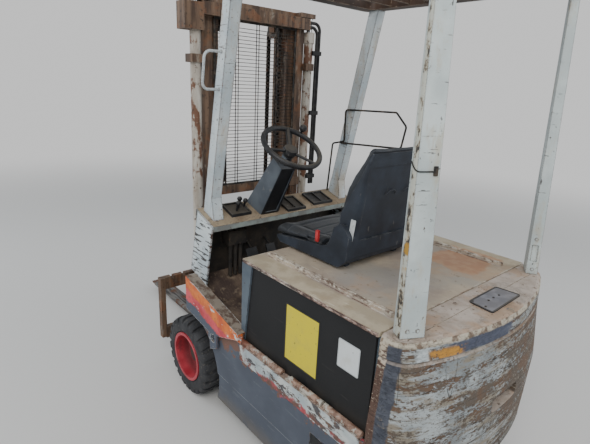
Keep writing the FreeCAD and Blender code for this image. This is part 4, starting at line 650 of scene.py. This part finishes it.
def stage_and_light():
    bpy.ops.object.select_all(action="DESELECT")
    bpy.ops.mesh.primitive_plane_add(size=60, location=(0, 0, 0))
    ground = bpy.context.object
    ground.name = "studio_floor"
    f = Finish("studio_floor_pale")
    reach = f.node("VectorMath", {"operation": "LENGTH"}, f.place, out="Value")
    seen = f.node("LightPath", {}, out="Is Camera Ray")
    diffuse = f.node("BsdfDiffuse", {}, (0.72, 0.71, 0.69, 1))
    glow = f.node("Emission", {}, (0.80, 0.80, 0.80, 1), 1.0)
    both = f.node("MixShader", {}, reach.rise(3.5, 9) * seen, diffuse, glow)
    output = f.tree.nodes.new("ShaderNodeOutputMaterial")
    f.tree.links.new(both.socket, output.inputs[0])
    ground.data.materials.append(f.material)

    world = bpy.data.worlds.new("studio")
    bpy.context.scene.world = world
    world.use_nodes = True
    tree = world.node_tree
    tree.nodes.clear()
    path = tree.nodes.new("ShaderNodeLightPath")
    shown = tree.nodes.new("ShaderNodeMath")
    shown.operation = "MAXIMUM"
    tree.links.new(path.outputs["Is Camera Ray"], shown.inputs[0])
    tree.links.new(path.outputs["Is Transmission Ray"], shown.inputs[1])
    sky, back, mixed = (tree.nodes.new("ShaderNode" + kind) for kind in ("Background", "Background",
                                                                         "MixShader"))
    sky.inputs[0].default_value = (0.90, 0.95, 1.0, 1)
    sky.inputs[1].default_value = 0.55
    back.inputs[0].default_value = (0.80, 0.80, 0.80, 1)
    tree.links.new(shown.outputs[0], mixed.inputs[0])
    tree.links.new(sky.outputs[0], mixed.inputs[1])
    tree.links.new(back.outputs[0], mixed.inputs[2])
    output = tree.nodes.new("ShaderNodeOutputWorld")
    tree.links.new(mixed.outputs[0], output.inputs[0])

    lamps = [("key", (-3.2, 3.6, 4.6), 3.2, 175, (1, 0.985, 0.96)),
             ("fill", (3.5, 3.5, 3.2), 3.0, 75, (0.92, 0.96, 1)),
             ("rear", (-4.5, -3.0, 3.5), 3.0, 85, (1, 1, 1))]  # name, place, size, watts, tint
    for name, place, size, watts, tint in lamps:
        data = bpy.data.lights.new(name, "AREA")
        data.size, data.energy, data.color = size, watts, tint
        lamp = bpy.data.objects.new(name, data)
        lamp.location = place
        lamp.rotation_mode = "QUATERNION"
        lamp.rotation_quaternion = (Vector((0, 0, 0.8)) - lamp.location).to_track_quat("-Z", "Y")
        bpy.context.scene.collection.objects.link(lamp)


# Modelling by hand: a primitive, shaped in edit mode
def deselect():
    bpy.ops.object.select_all(action="DESELECT")


def pick(*pieces):
    deselect()
    for piece in pieces:
        piece.select_set(True)
    bpy.context.view_layer.objects.active = pieces[0]


@contextmanager
def editing(piece, mode="VERT"):
    pick(piece)
    bpy.ops.object.mode_set(mode="EDIT")
    bpy.ops.mesh.select_mode(type=mode)
    bpy.ops.mesh.select_all(action="DESELECT")
    yield bmesh.from_edit_mesh(piece.data)
    bpy.ops.object.mode_set(mode="OBJECT")


def choose(mesh, parts, test):
    """Selects the vertices, edges or faces that a test finds by their place or normal."""
    for part in parts:
        part.select_set(test(part))
    mesh.select_flush_mode()


def settled(name):
    """The piece just added, with its place in its mesh."""
    bpy.ops.object.transform_apply(location=True, rotation=True, scale=True)
    piece = bpy.context.object
    piece.name = piece.data.name = name
    return piece


def block(name, low, high):
    low, high = Vector(low), Vector(high)
    deselect()
    bpy.ops.mesh.primitive_cube_add(size=1, location=(low + high) / 2, scale=high - low)
    return settled(name)


def round_bar(name, start, end, radius, sides=24):
    start, end = Vector(start), Vector(end)
    turn = (end - start).to_track_quat("Z", "Y").to_euler()
    deselect()
    bpy.ops.mesh.primitive_cone_add(vertices=sides, radius1=radius, radius2=radius,
                                    depth=(end - start).length, location=(start + end) / 2, rotation=turn)
    return settled(name)


def modified(piece, kind, **settings):
    pick(piece)
    modifier = piece.modifiers.new(kind.lower(), kind)
    for key, value in settings.items():
        setattr(modifier, key, value)
    bpy.ops.object.modifier_apply(modifier=modifier.name)
    return piece


def eased(piece, width, steps=2):
    return modified(piece, "BEVEL", width=width, segments=steps, limit_method="ANGLE",
                    angle_limit=math.radians(28))


def smoothed(piece, angle=38):
    pick(piece)
    bpy.ops.object.shade_smooth_by_angle(angle=math.radians(angle))
    return piece


def joined(name, pieces):
    pick(*pieces)
    if len(pieces) > 1:
        bpy.ops.object.join()
    piece = bpy.context.object
    piece.name = piece.data.name = name
    return piece


def copied(piece, move):
    """A copy with its own mesh, moved by a matrix."""
    twin = piece.copy()
    twin.data = piece.data.copy()
    twin.data.transform(move)
    bpy.context.scene.collection.objects.link(twin)
    return twin


def closed_up(piece, gap=0.0002):
    with editing(piece):
        bpy.ops.mesh.select_all(action="SELECT")
        bpy.ops.mesh.remove_doubles(threshold=gap)
        bpy.ops.mesh.normals_make_consistent(inside=False)
    return piece


def mounted(piece, material, body, slot, *nodes):
    """Gives a piece its finish and its body; nodes are the ones it stands for. The slot is not used."""
    piece.data.materials.clear()
    piece.data.materials.append(material)
    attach(piece, body)
    if nodes:
        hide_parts(*nodes)
    return piece


def turned_about(centre, axis, angle):
    centre = Vector(centre)
    return Matrix.Translation(centre) @ Matrix.Rotation(angle, 4, axis) @ Matrix.Translation(-centre)


def spun(name, profile, centre, steps):
    """A ring about the Y line through a centre; the profile is a closed loop of (y, radius)."""
    centre = Vector(centre)
    deselect()
    bpy.ops.mesh.primitive_circle_add(vertices=len(profile), radius=0.1, location=centre)
    ring = settled(name)
    for vertex, (y, radius) in zip(ring.data.vertices, profile):
        vertex.co = centre + Vector((0, y, radius))
    with editing(ring):
        bpy.ops.mesh.select_all(action="SELECT")
        bpy.ops.mesh.spin(steps=steps, angle=math.tau, center=centre, axis=(0, 1, 0))
    return closed_up(ring)


# Tyres: a carcass with shoulder lugs that wrap down the sidewall
# Hub of the left wheel, half width, radius, radius of the bore, lugs on each shoulder
TYRES = {"front": (at(465, 470, 220), 0.095, 0.220, 0.127, 22),
         "rear": (at(-670, 440, 190), 0.060, 0.190, 0.102, 20)}
LUG_DEPTH, LUG_SHARE, LUG_SLANT = 0.014, 0.62, 0.012


def tread_lug(centre, half, radius, pitch):
    """One bar of the tread at the top of the wheel, on the +Y side."""
    width = radius * pitch * LUG_SHARE
    top = math.sqrt(radius ** 2 - (width / 2 + LUG_SLANT) ** 2)
    path = [(0.006, top, 1.0), (half - 0.030, top, 1.0), (half - 0.006, top - 0.008, 1.04),
            (half - 0.002, top - 0.030, 0.9)]  # y, level, share of the width
    deselect()
    bpy.ops.mesh.primitive_plane_add(size=0.01, location=centre)
    lug = settled("lug")
    with editing(lug) as mesh:
        choose(mesh, mesh.edges, lambda e: all(v.co.y > centre.y for v in e.verts))
        for _ in path[2:]:
            bpy.ops.mesh.extrude_region_move(TRANSFORM_OT_translate={"value": (0, 0.01, 0)})
    rows = sorted(set(round(v.co.y, 5) for v in lug.data.vertices))
    for vertex in lug.data.vertices:
        y, level, share = path[rows.index(round(vertex.co.y, 5))]
        side = 1 if vertex.co.x > centre.x else -1
        lean = LUG_SLANT * (1 - y / half)
        vertex.co = centre + Vector((side * width / 2 * share + lean, y, level))
    modified(lug, "SOLIDIFY", thickness=LUG_DEPTH, offset=-1.0)
    return eased(lug, 0.0022, 1)


def tyre(name, hub, half, radius, bore, lugs, material, body):
    step = half - 0.0085
    loop = [(-step, bore + 0.0004), (step, bore + 0.0004), (step, bore + 0.010), (half - 0.002, bore + 0.017),
            (half, bore + 0.034), (half - 0.003, radius - 0.034), (half - 0.012, radius - 0.020),
            (half - 0.034, radius - 0.011),
            (0, radius - 0.009)]
    loop += [(-y, r) for y, r in reversed(loop[2:-1])]
    carcass = spun(name, loop, hub, lugs * 4)
    pitch = math.tau / lugs
    first = tread_lug(hub, half, radius, pitch)
    other = copied(first, Matrix.Translation(hub) @ Matrix.Diagonal((1, -1, 1, 1)) @ Matrix.Translation(-hub))
    other.data.flip_normals()
    bars = []
    for i in range(lugs):
        bars.append(copied(first, turned_about(hub, "Y", i * pitch)))
        bars.append(copied(other, turned_about(hub, "Y", (i + 0.5) * pitch)))
    for spare in (first, other):
        bpy.data.objects.remove(spare)
    piece = smoothed(joined(name, [carcass] + bars), 32)
    return mounted(piece, material, body, "tyre_rubber", name.replace("lugged_", ""))


def tyres():
    for side, word in ((1, "left"), (-1, "right")):
        for end, (hub, *sizes) in TYRES.items():
            centre = Vector((hub.x, side * hub.y, hub.z))
            rubber = finishes[end + "_tyre_left"]
            tyre(f"lugged_{end}_tyre_{word}", centre, *sizes, rubber, f"{end}_wheel_{word}")


# Lift chains: leaf links on pins, in straight strands beside the pulleys
CHAIN_PITCH, CHAIN_WIDTH = 0.0254, 0.024
CHAIN_START = 0.016  # from a strand's lower end to its first link
CHAIN_Y, CHAIN_TOP = 186, 1975


def chain_link(centre):
    """Two rows of plates and their pins, one pitch long, standing upright."""
    parts = []
    for shift, spread in ((0.0, 0.8), (CHAIN_PITCH / 2, 0.45)):
        for side in (-1, 1):
            y = centre.y + side * CHAIN_WIDTH / 2 * spread
            middle, half = centre.z + shift, CHAIN_PITCH * 0.62
            plate = block("plate", (centre.x - 0.006, y - 0.0016, middle - half),
                          (centre.x + 0.006, y + 0.0016, middle + half))
            with editing(plate, "FACE") as mesh:
                choose(mesh, mesh.faces, lambda f: abs(f.normal.z) > 0.9)
                bpy.ops.mesh.inset(thickness=0.0018, use_even_offset=True)
                bpy.ops.transform.resize(value=(0.7, 1, 1))
            parts.append(plate)
    for share in (0.25, 0.75):
        start = centre + Vector((0, -CHAIN_WIDTH / 2, CHAIN_PITCH * share))
        parts.append(round_bar("pin", start, start + Vector((0, CHAIN_WIDTH, 0)), 0.0030, 8))
    return joined("link", parts)


def chain_strand(x, y, low):
    link = chain_link(at(x, y, low) + Vector((0, 0, CHAIN_START)))
    count = int(((CHAIN_TOP - low) / 1000 - CHAIN_START) / CHAIN_PITCH)
    modified(link, "ARRAY", count=count, use_relative_offset=False, use_constant_offset=True,
             constant_offset_displace=(0, 0, CHAIN_PITCH))
    return smoothed(link, 30)


def chains():
    for prefix, x, low, body in (("front", 781.3, 430, "mast_inner"), ("rear", 678.7, 1110.3, "mast_outer")):
        node = "lift_chains_" + prefix
        piece = joined("leaf_chain_" + prefix, [chain_strand(x, side * CHAIN_Y, low) for side in (1, -1)])
        mounted(piece, finishes[node], body, "chain_steel", node)
        if prefix == "front":
            at(x, 0, CHAIN_TOP)
            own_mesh(piece)


# Bars and cords bent to a line
def bent_bar(name, points, radius):
    """A round bar along a smooth line; the points steer the line."""
    deselect()
    bpy.ops.curve.primitive_nurbs_path_add()
    bar = bpy.context.object
    bar.data.splines.clear()
    line = bar.data.splines.new("NURBS")
    line.points.add(len(points) - 1)
    for point, place in zip(line.points, points):
        point.co = (*place, 1)
    line.order_u, line.use_endpoint_u = 3, True
    bar.data.resolution_u = 6
    bar.data.bevel_depth, bar.data.bevel_resolution, bar.data.use_fill_caps = radius, 2, True
    bpy.ops.object.convert(target="MESH")
    bar = settled(name)
    return smoothed(closed_up(bar, 0.00005), 60)


# Seat pads: blown up by a short cloth run, then given their seams
CLOTH_FRAMES, CLOTH_PRESSURE = 20, 4.0


def blown_up(piece, cap):
    """Swells a closed mesh like a stuffed cover; no point moves further than the cap."""
    rest = [v.co.copy() for v in piece.data.vertices]
    pick(piece)
    cloth = piece.modifiers.new("cover", "CLOTH")
    cloth.settings.use_pressure = True
    cloth.settings.uniform_pressure_force = CLOTH_PRESSURE
    cloth.settings.effector_weights.gravity = 0
    cloth.point_cache.frame_end = CLOTH_FRAMES
    for number in range(1, CLOTH_FRAMES + 1):
        bpy.context.scene.frame_set(number)
    bpy.ops.object.modifier_apply(modifier=cloth.name)
    for vertex, start in zip(piece.data.vertices, rest):
        way = vertex.co - start
        vertex.co = start + way * min(1, cap / max(way.length, 1e-9))
    bpy.context.scene.frame_set(1)
    return piece


def sewn(piece, facing, lines):
    """Presses sewn channels into the side that looks one way.

    Each line is an axis and its place, the channel's depth and half width, and the span that it
    covers on another axis.
    """
    facing = Vector(facing)
    looks = [v.normal.dot(facing) for v in piece.data.vertices]
    for vertex, look in zip(piece.data.vertices, looks):
        if look < 0.35:
            continue
        drop = 0
        for axis, place, depth, half, across, low, high in lines:
            off = (vertex.co[axis] - place) / half
            if abs(off) < 3 and low < vertex.co[across] < high:
                drop = max(drop, depth * math.exp(-off * off))
        vertex.co -= facing * drop * min(1, (look - 0.35) * 3)
    return piece


SEAT_Y, SEAT_VOXEL = 0.030, 0.006
CHANNEL_STEP = 0.075  # between the sewn channels
PAN_HALF, SHELL_TOP = 0.2227, 1.4403
# The upper edge of the seat pan's side walls, and the front face of the back shell
PAN_EDGE = [(76, 993), (-262, 1033)]
SHELL_FRONT = [(1085, -299.7), (1180, -299.7), (1232, -327.7), (1346, -383.7), (1412, -407.7), (1440, -413.7)]


def along(line, value):
    """Reads a line of points at a value, in millimetres."""
    for (a, at_a), (b, at_b) in zip(line, line[1:]):
        if min(a, b) <= value <= max(a, b):
            return at_a + (at_b - at_a) * (value - a) / (b - a)
    return line[0][1] if abs(value - line[0][0]) < abs(value - line[-1][0]) else line[-1][1]


def cushion_pad():
    low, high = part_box("seat_cushion")
    inner = block("inner", (low.x + 0.010, SEAT_Y - PAN_HALF + 0.009, low.z + 0.008),
                  (x_at(56), SEAT_Y + PAN_HALF - 0.009, high.z - 0.016))
    wide = block("wide", (x_at(-236), low.y + 0.010, 0), (high.x + 0.002, high.y - 0.010, high.z - 0.008))
    for vertex in wide.data.vertices:
        if vertex.co.z < 0.1:
            vertex.co.z = along(PAN_EDGE, (vertex.co.x - HOOD_EDGE) * 1000) / 1000 + 0.009
    pad = joined("seat_cushion_vinyl", [inner, wide])
    with editing(pad, "EDGE") as mesh:
        choose(mesh, mesh.edges, lambda e: min(v.co.x for v in e.verts) > high.x - 0.01
               and min(v.co.z for v in e.verts) > high.z - 0.02)
        bpy.ops.mesh.bevel(offset=0.020, segments=5, affect="EDGES")
    eased(pad, 0.009, 2)
    modified(pad, "REMESH", mode="VOXEL", voxel_size=SEAT_VOXEL)
    blown_up(pad, 0.009)
    half_y = (high.y - low.y) / 2
    wing = half_y * 0.60
    rear, front = low.x + 0.03, high.x - 0.075
    for vertex in pad.data.vertices:
        off = abs(vertex.co.y - SEAT_Y) / half_y
        bolster = 0.012 * math.exp(-((off - 0.80) / 0.13) ** 2)
        crown = 0.006 * max(0, 1 - (off / 0.55) ** 2)
        vertex.co.z += (bolster + crown) * max(0, vertex.normal.z)
        # Below the pan's edge the pad stays inside its walls
        lip = along(PAN_EDGE, (vertex.co.x - HOOD_EDGE) * 1000) / 1000
        if vertex.co.z < lip and off * half_y < PAN_HALF + 0.004:
            vertex.co.y = SEAT_Y + max(-PAN_HALF, min(PAN_HALF, vertex.co.y - SEAT_Y))
            vertex.co.x = min(vertex.co.x, x_at(63.5))
        elif vertex.co.z < lip:
            vertex.co.z = lip + 0.0005
        vertex.co.x = max(vertex.co.x, low.x + 0.001)
    lines = [(1, SEAT_Y + side * wing, 0.008, 0.006, 0, rear - 0.02, front) for side in (1, -1)]
    lines += [(0, rear + CHANNEL_STEP * i, 0.005, 0.005, 1, SEAT_Y - wing, SEAT_Y + wing) for i in (1, 2, 3)]
    lines.append((0, front, 0.007, 0.006, 1, low.y + 0.02, high.y - 0.02))
    sewn(pad, (0, 0, 1), lines)
    modified(pad, "SUBSURF", levels=1, render_levels=1)
    smoothed(pad, 80)
    mounted(pad, finishes["seat_cushion"], "hood", "seat_vinyl", "seat_cushion")


def back_pad():
    low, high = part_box("seat_backrest")
    half_y = (high.y - low.y) / 2 - 0.008
    # The side of the pad: level, front line, rear line, share of the width
    levels = [(1092, -270, -309, 0.93), (1130, -280, -309, 0.98), (1180, -293, -310, 1.0),
              (1232, -304, -336, 1.0),
              (1290, -320, -364, 1.0), (1346, -348, -392, 0.99), (1400, -381, -412, 0.96),
              (1436, -397, -422, 0.92),
              (1448, -400, -424, 0.90), (1463, -407, -424, 0.84)]
    pad = block("seat_backrest_vinyl", (-0.1, -half_y, 0), (0.1, half_y, 0.1))
    with editing(pad, "FACE") as mesh:
        for _ in levels[2:]:
            top = max(v.co.z for v in mesh.verts)
            bpy.ops.mesh.select_all(action="DESELECT")
            choose(mesh, mesh.faces, lambda f: f.normal.z > 0.9 and f.calc_center_median().z > top - 0.01)
            bpy.ops.mesh.extrude_region_move(TRANSFORM_OT_translate={"value": (0, 0, 0.1)})
    for vertex in pad.data.vertices:
        level, front, rear, share = levels[round(vertex.co.z * 10)]
        vertex.co = at(front if vertex.co.x > 0 else rear, 0, level) + Vector((0,
                                                                               SEAT_Y + vertex.co.y * share,
                                                                               0))
    eased(pad, 0.010, 3)
    modified(pad, "REMESH", mode="VOXEL", voxel_size=SEAT_VOXEL)
    blown_up(pad, 0.008)
    ahead = Vector((math.cos(0.3), 0, math.sin(0.3)))
    for vertex in pad.data.vertices:
        off = abs(vertex.co.y - SEAT_Y) / half_y
        hollow = 0.016 * max(0, 1 - (off / 0.62) ** 4)
        vertex.co -= ahead * hollow * max(0, vertex.normal.dot(ahead))
        # The pad lies on the shell's front and folds over its top
        if vertex.co.z < SHELL_TOP:
            shell = x_at(along(SHELL_FRONT, vertex.co.z * 1000))
            if vertex.co.x < shell:
                vertex.co.x = shell
    wing = half_y * 0.62
    lines = [(1, SEAT_Y + side * wing, 0.008, 0.006, 2, 1.10, 1.40) for side in (1, -1)]
    lines += [(2, 1.10 + CHANNEL_STEP * i, 0.005, 0.005, 1, SEAT_Y - wing, SEAT_Y + wing) for i in (1, 2, 3,
                                                                                                    4)]
    sewn(pad, ahead, lines)
    modified(pad, "SUBSURF", levels=1, render_levels=1)
    smoothed(pad, 80)
    mounted(pad, finishes["seat_backrest"], "hood", "seat_vinyl", "seat_backrest")


# Rear posts of the guard: folded sheet, broad towards the outside and narrower at the roof
POST_FOOT, POST_HEAD = at(-817, 445, 944.3), at(-770, 432, 2045)
POST_FOOT_SIZE, POST_HEAD_SIZE = Vector((0.086, 0.048, 0)), Vector((0.059, 0.031, 0))
POST_TURN = math.radians(62)
POST_HOLE = (0.990, 1.085)  # lower and upper end of the hole at the foot of the right post


def on_post(across, out, level, side=1):
    """A place by the post: across its broad face and out from its middle, for the left post or its mirror."""
    share = (level - POST_FOOT.z) / (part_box("guard_posts_rear")[1].z - POST_FOOT.z)
    offset = Matrix.Rotation(POST_TURN, 3, "Z") @ Vector((across, out, 0))
    place = POST_FOOT.lerp(POST_HEAD, share) + offset
    return Vector((place.x, place.y * side, level))


def rear_post(side):
    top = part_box("guard_posts_rear")[1].z
    post = block("post", (-0.5, -0.5, 0), (0.5, 0.5, 1))
    for vertex in post.data.vertices:
        across, out, share = vertex.co
        size = POST_FOOT_SIZE.lerp(POST_HEAD_SIZE, share)
        vertex.co = on_post(across * size.x, out * size.y, POST_FOOT.z + share * (top - POST_FOOT.z), side)
    if side < 0:
        post.data.flip_normals()
        outward = Vector((-math.cos(POST_TURN), math.sin(POST_TURN), 0))
        with editing(post, "FACE") as mesh:
            for level in POST_HOLE:
                bpy.ops.mesh.select_all(action="SELECT")
                bpy.ops.mesh.bisect(plane_co=(0, 0, level), plane_no=(0, 0, 1))
            bpy.ops.mesh.select_all(action="DESELECT")
            middle = sum(POST_HOLE) / 2
            choose(mesh, mesh.faces,
                   lambda f: f.normal.dot(outward) > 0.9 and abs(f.calc_center_median().z - middle) < 0.02)
            bpy.ops.mesh.inset(thickness=0.012)
            bpy.ops.mesh.extrude_region_move(TRANSFORM_OT_translate={"value": -0.008 * outward})
    return eased(post, 0.004, 2)


def post_bolt(start, end, level, side):
    return eased(round_bar("bolt", on_post(*start, level, side), on_post(*end, level, side), 0.006, 12),
                 0.001, 1)


def rear_posts():
    parts = [rear_post(1), rear_post(-1)]
    parts += [post_bolt((across, 0.022), (across, 0.027), 0.970, 1) for across in (-0.016, 0.018)]
    parts += [post_bolt((-0.038, 0), (-0.045, 0), level, -1) for level in (0.966, 1.100)]
    posts = smoothed(joined("folded_rear_posts", parts), 30)
    mounted(posts, post_paint(), "chassis", "pale_paint", "guard_posts_rear")


# Lid of the counterweight: cover plate with its raised rim and bolts, hitch pin flush with the lid
COVER_FACE = 0.9475  # inside the rim
PIN_X, PIN_R = -934.5, 0.014
COVER_CORNERS = [(-811, 71), (-810, -141), (-906, -150), (-911, 85)]
COVER_BOLTS = [(-854, 3), (-854, -35), (-856, -74), (-872, 60), (-821, 58)]


def cover_and_pin():
    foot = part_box("counterweight_fittings")[0].z
    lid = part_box("counterweight")[1].z
    plate = block("cover", (0, 0, lid + 0.0003), (1, 1, lid + 0.0050))
    for vertex in plate.data.vertices:
        corner = COVER_CORNERS[[(0, 0), (1, 0), (1, 1), (0, 1)].index((round(vertex.co.x),
                                                                       round(vertex.co.y)))]
        vertex.co = at(*corner, 0) + Vector((0, 0, vertex.co.z))
    plate.data.flip_normals()
    with editing(plate, "EDGE") as mesh:
        choose(mesh, mesh.edges, lambda e: abs(e.verts[0].co.z - e.verts[1].co.z) > 0.003)
        bpy.ops.mesh.bevel(offset=0.010, segments=2, affect="EDGES")
    with editing(plate, "FACE") as mesh:
        choose(mesh, mesh.faces, lambda f: f.normal.z > 0.9)
        bpy.ops.mesh.inset(thickness=0.006)
        bpy.ops.mesh.extrude_region_move(TRANSFORM_OT_translate={"value": (0, 0, COVER_FACE - lid - 0.0050)})
    bolts = [eased(round_bar("bolt", at(x, y, 0) + Vector((0, 0, COVER_FACE - 0.0005)),
                             at(x, y, 0) + Vector((0, 0, COVER_FACE + 0.0030)), 0.0045, 12), 0.001, 1)
             for x, y in COVER_BOLTS]
    pin_x = x_at(PIN_X)
    pin = eased(round_bar("pin", (pin_x, 0, foot), (pin_x, 0, lid - 0.0005), PIN_R), 0.002, 2)
    fittings = smoothed(joined("cover_plate_and_hitch_pin", [plate, pin] + bolts), 30)
    mounted(fittings, cover_paint(), "chassis", "counterweight_paint", "counterweight_fittings")


# Stickers without print
def corners_rounded(sheet, radius, steps):
    with editing(sheet, "EDGE") as mesh:
        choose(mesh, mesh.edges, lambda e: abs(e.verts[0].co.y - e.verts[1].co.y) > 0.0004)
        bpy.ops.mesh.bevel(offset=radius, segments=steps, affect="EDGES")
    return sheet


def sticker(name, low, high, node, base, border, rim):
    """A thin sheet with rounded corners and a plain border, stuck on a node's left face."""
    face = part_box(node)[1].y + 0.0002
    piece = corners_rounded(block(name, (low.x, face, low.z), (high.x, face + 0.0006, high.z)), 0.006, 4)
    f = Finish(name + "_print_free")
    inner = f.x.between(low.x + rim, high.x - rim, 0.0004) * f.z.between(low.z + rim, high.z - rim, 0.0004)
    shade = f.mix(f.noise(20, 5).rise(0.45, 0.7) * 0.2, base, "9A9268")
    shade = shade.over(f.noise(70, 5, 0.7).rise(0.66, 0.68), "3A3936")
    shade = shade.over(1 - inner, border)
    material = f.done(shade, 0.35 + f.noise(9) * 0.2, normal=f.bump(f.noise(18, 3), 0.0008))
    return mounted(piece, material, "chassis", "black_panel")


def stickers():
    sticker("side_sticker_yellow", at(-493, 0, 608), at(-298, 0, 858), "battery_side_panels", "D9C81E",
            "1E1D18", 0.006)
    sticker("side_label_white", at(-688, 0, 734), at(-588, 0, 846), "battery_side_panels", "D5DADB",
            "B9BEC0", 0.004)


# The wire hook and its clip on the left rear post
def post_fittings():
    face = 0.0222  # just off the post's outer face
    hook = bent_bar("hook", [on_post(0.0388, -0.012, 1.484), on_post(0.0388, 0, 1.470),
                             on_post(0.038, face, 1.461),
                             on_post(0.020, face, 1.460), on_post(-0.016, face, 1.461)], 0.0020)
    clip = block("clip", (-0.5, -0.5, 0), (0.5, 0.5, 1))
    for vertex in clip.data.vertices:
        vertex.co = on_post(-0.021 + vertex.co.x * 0.014, 0.021 + vertex.co.y * 0.006,
                            1.448 + vertex.co.z * 0.028)
    hook = smoothed(joined("rear_post_hook", [hook, eased(clip, 0.0015, 1)]), 40)
    mounted(hook, finishes["mast_mesh_guard"], "chassis", "wire_steel")


# Small parts of the seat's shell
LABEL_LEVEL, LABEL_LEAN = 1.101, 0.12


def seat_fittings():
    buckle = block("buckle", at(-211, 262, 1036), at(-195, 275, 1086))
    with editing(buckle, "FACE") as mesh:
        choose(mesh, mesh.faces, lambda f: f.normal.z > 0.9)
        bpy.ops.mesh.inset(thickness=0.002)
        bpy.ops.mesh.extrude_region_move(TRANSFORM_OT_translate={"value": (0, 0, -0.004)})
    buckle = smoothed(eased(buckle, 0.003, 2), 30)
    buckle.name = "seat_belt_buckle"
    f = Finish("buckle_red_plastic")
    red = f.mix(f.noise(30, 4).rise(0.4, 0.6), "A8282C", "C63A3C")
    mounted(buckle, f.done(red, 0.4, normal=f.bump(f.noise(80, 2), 0.0002)), "hood", "seat_plastic")

    label = block("seat_shell_label", at(-380, 241.1, 1080), at(-354, 241.8, 1172))
    for vertex in label.data.vertices:
        vertex.co.x -= (vertex.co.z - LABEL_LEVEL) * LABEL_LEAN
    corners_rounded(label, 0.003, 3)
    f = Finish("shell_label_print_free")
    white = f.mix(f.noise(60, 4).rise(0.5, 0.66) * 0.5, "C9CDCE", "8F9290")
    mounted(label, f.done(white, 0.4, normal=f.bump(f.noise(30, 2), 0.0003)), "hood", "seat_plastic")
    points = [(-400, 40, 1262), (-406, 34, 1272), (-410, 20, 1280), (-410, 0, 1280), (-406, -14, 1272),
              (-400, -20, 1262)]
    loops = [bent_bar("loop", [at(x, y + shift, z) for x, y, z in points], 0.0028) for shift in (-70, 45)]
    loops = joined("seat_shell_hooks", loops)
    mounted(loops, finishes["seat_shell"], "hood", "seat_plastic")


place_camera()
stage_and_light()
finishes = dress_frame()
tyres()
chains()
cushion_pad()
back_pad()
rear_posts()
cover_and_pin()
stickers()
post_fittings()
seat_fittings()
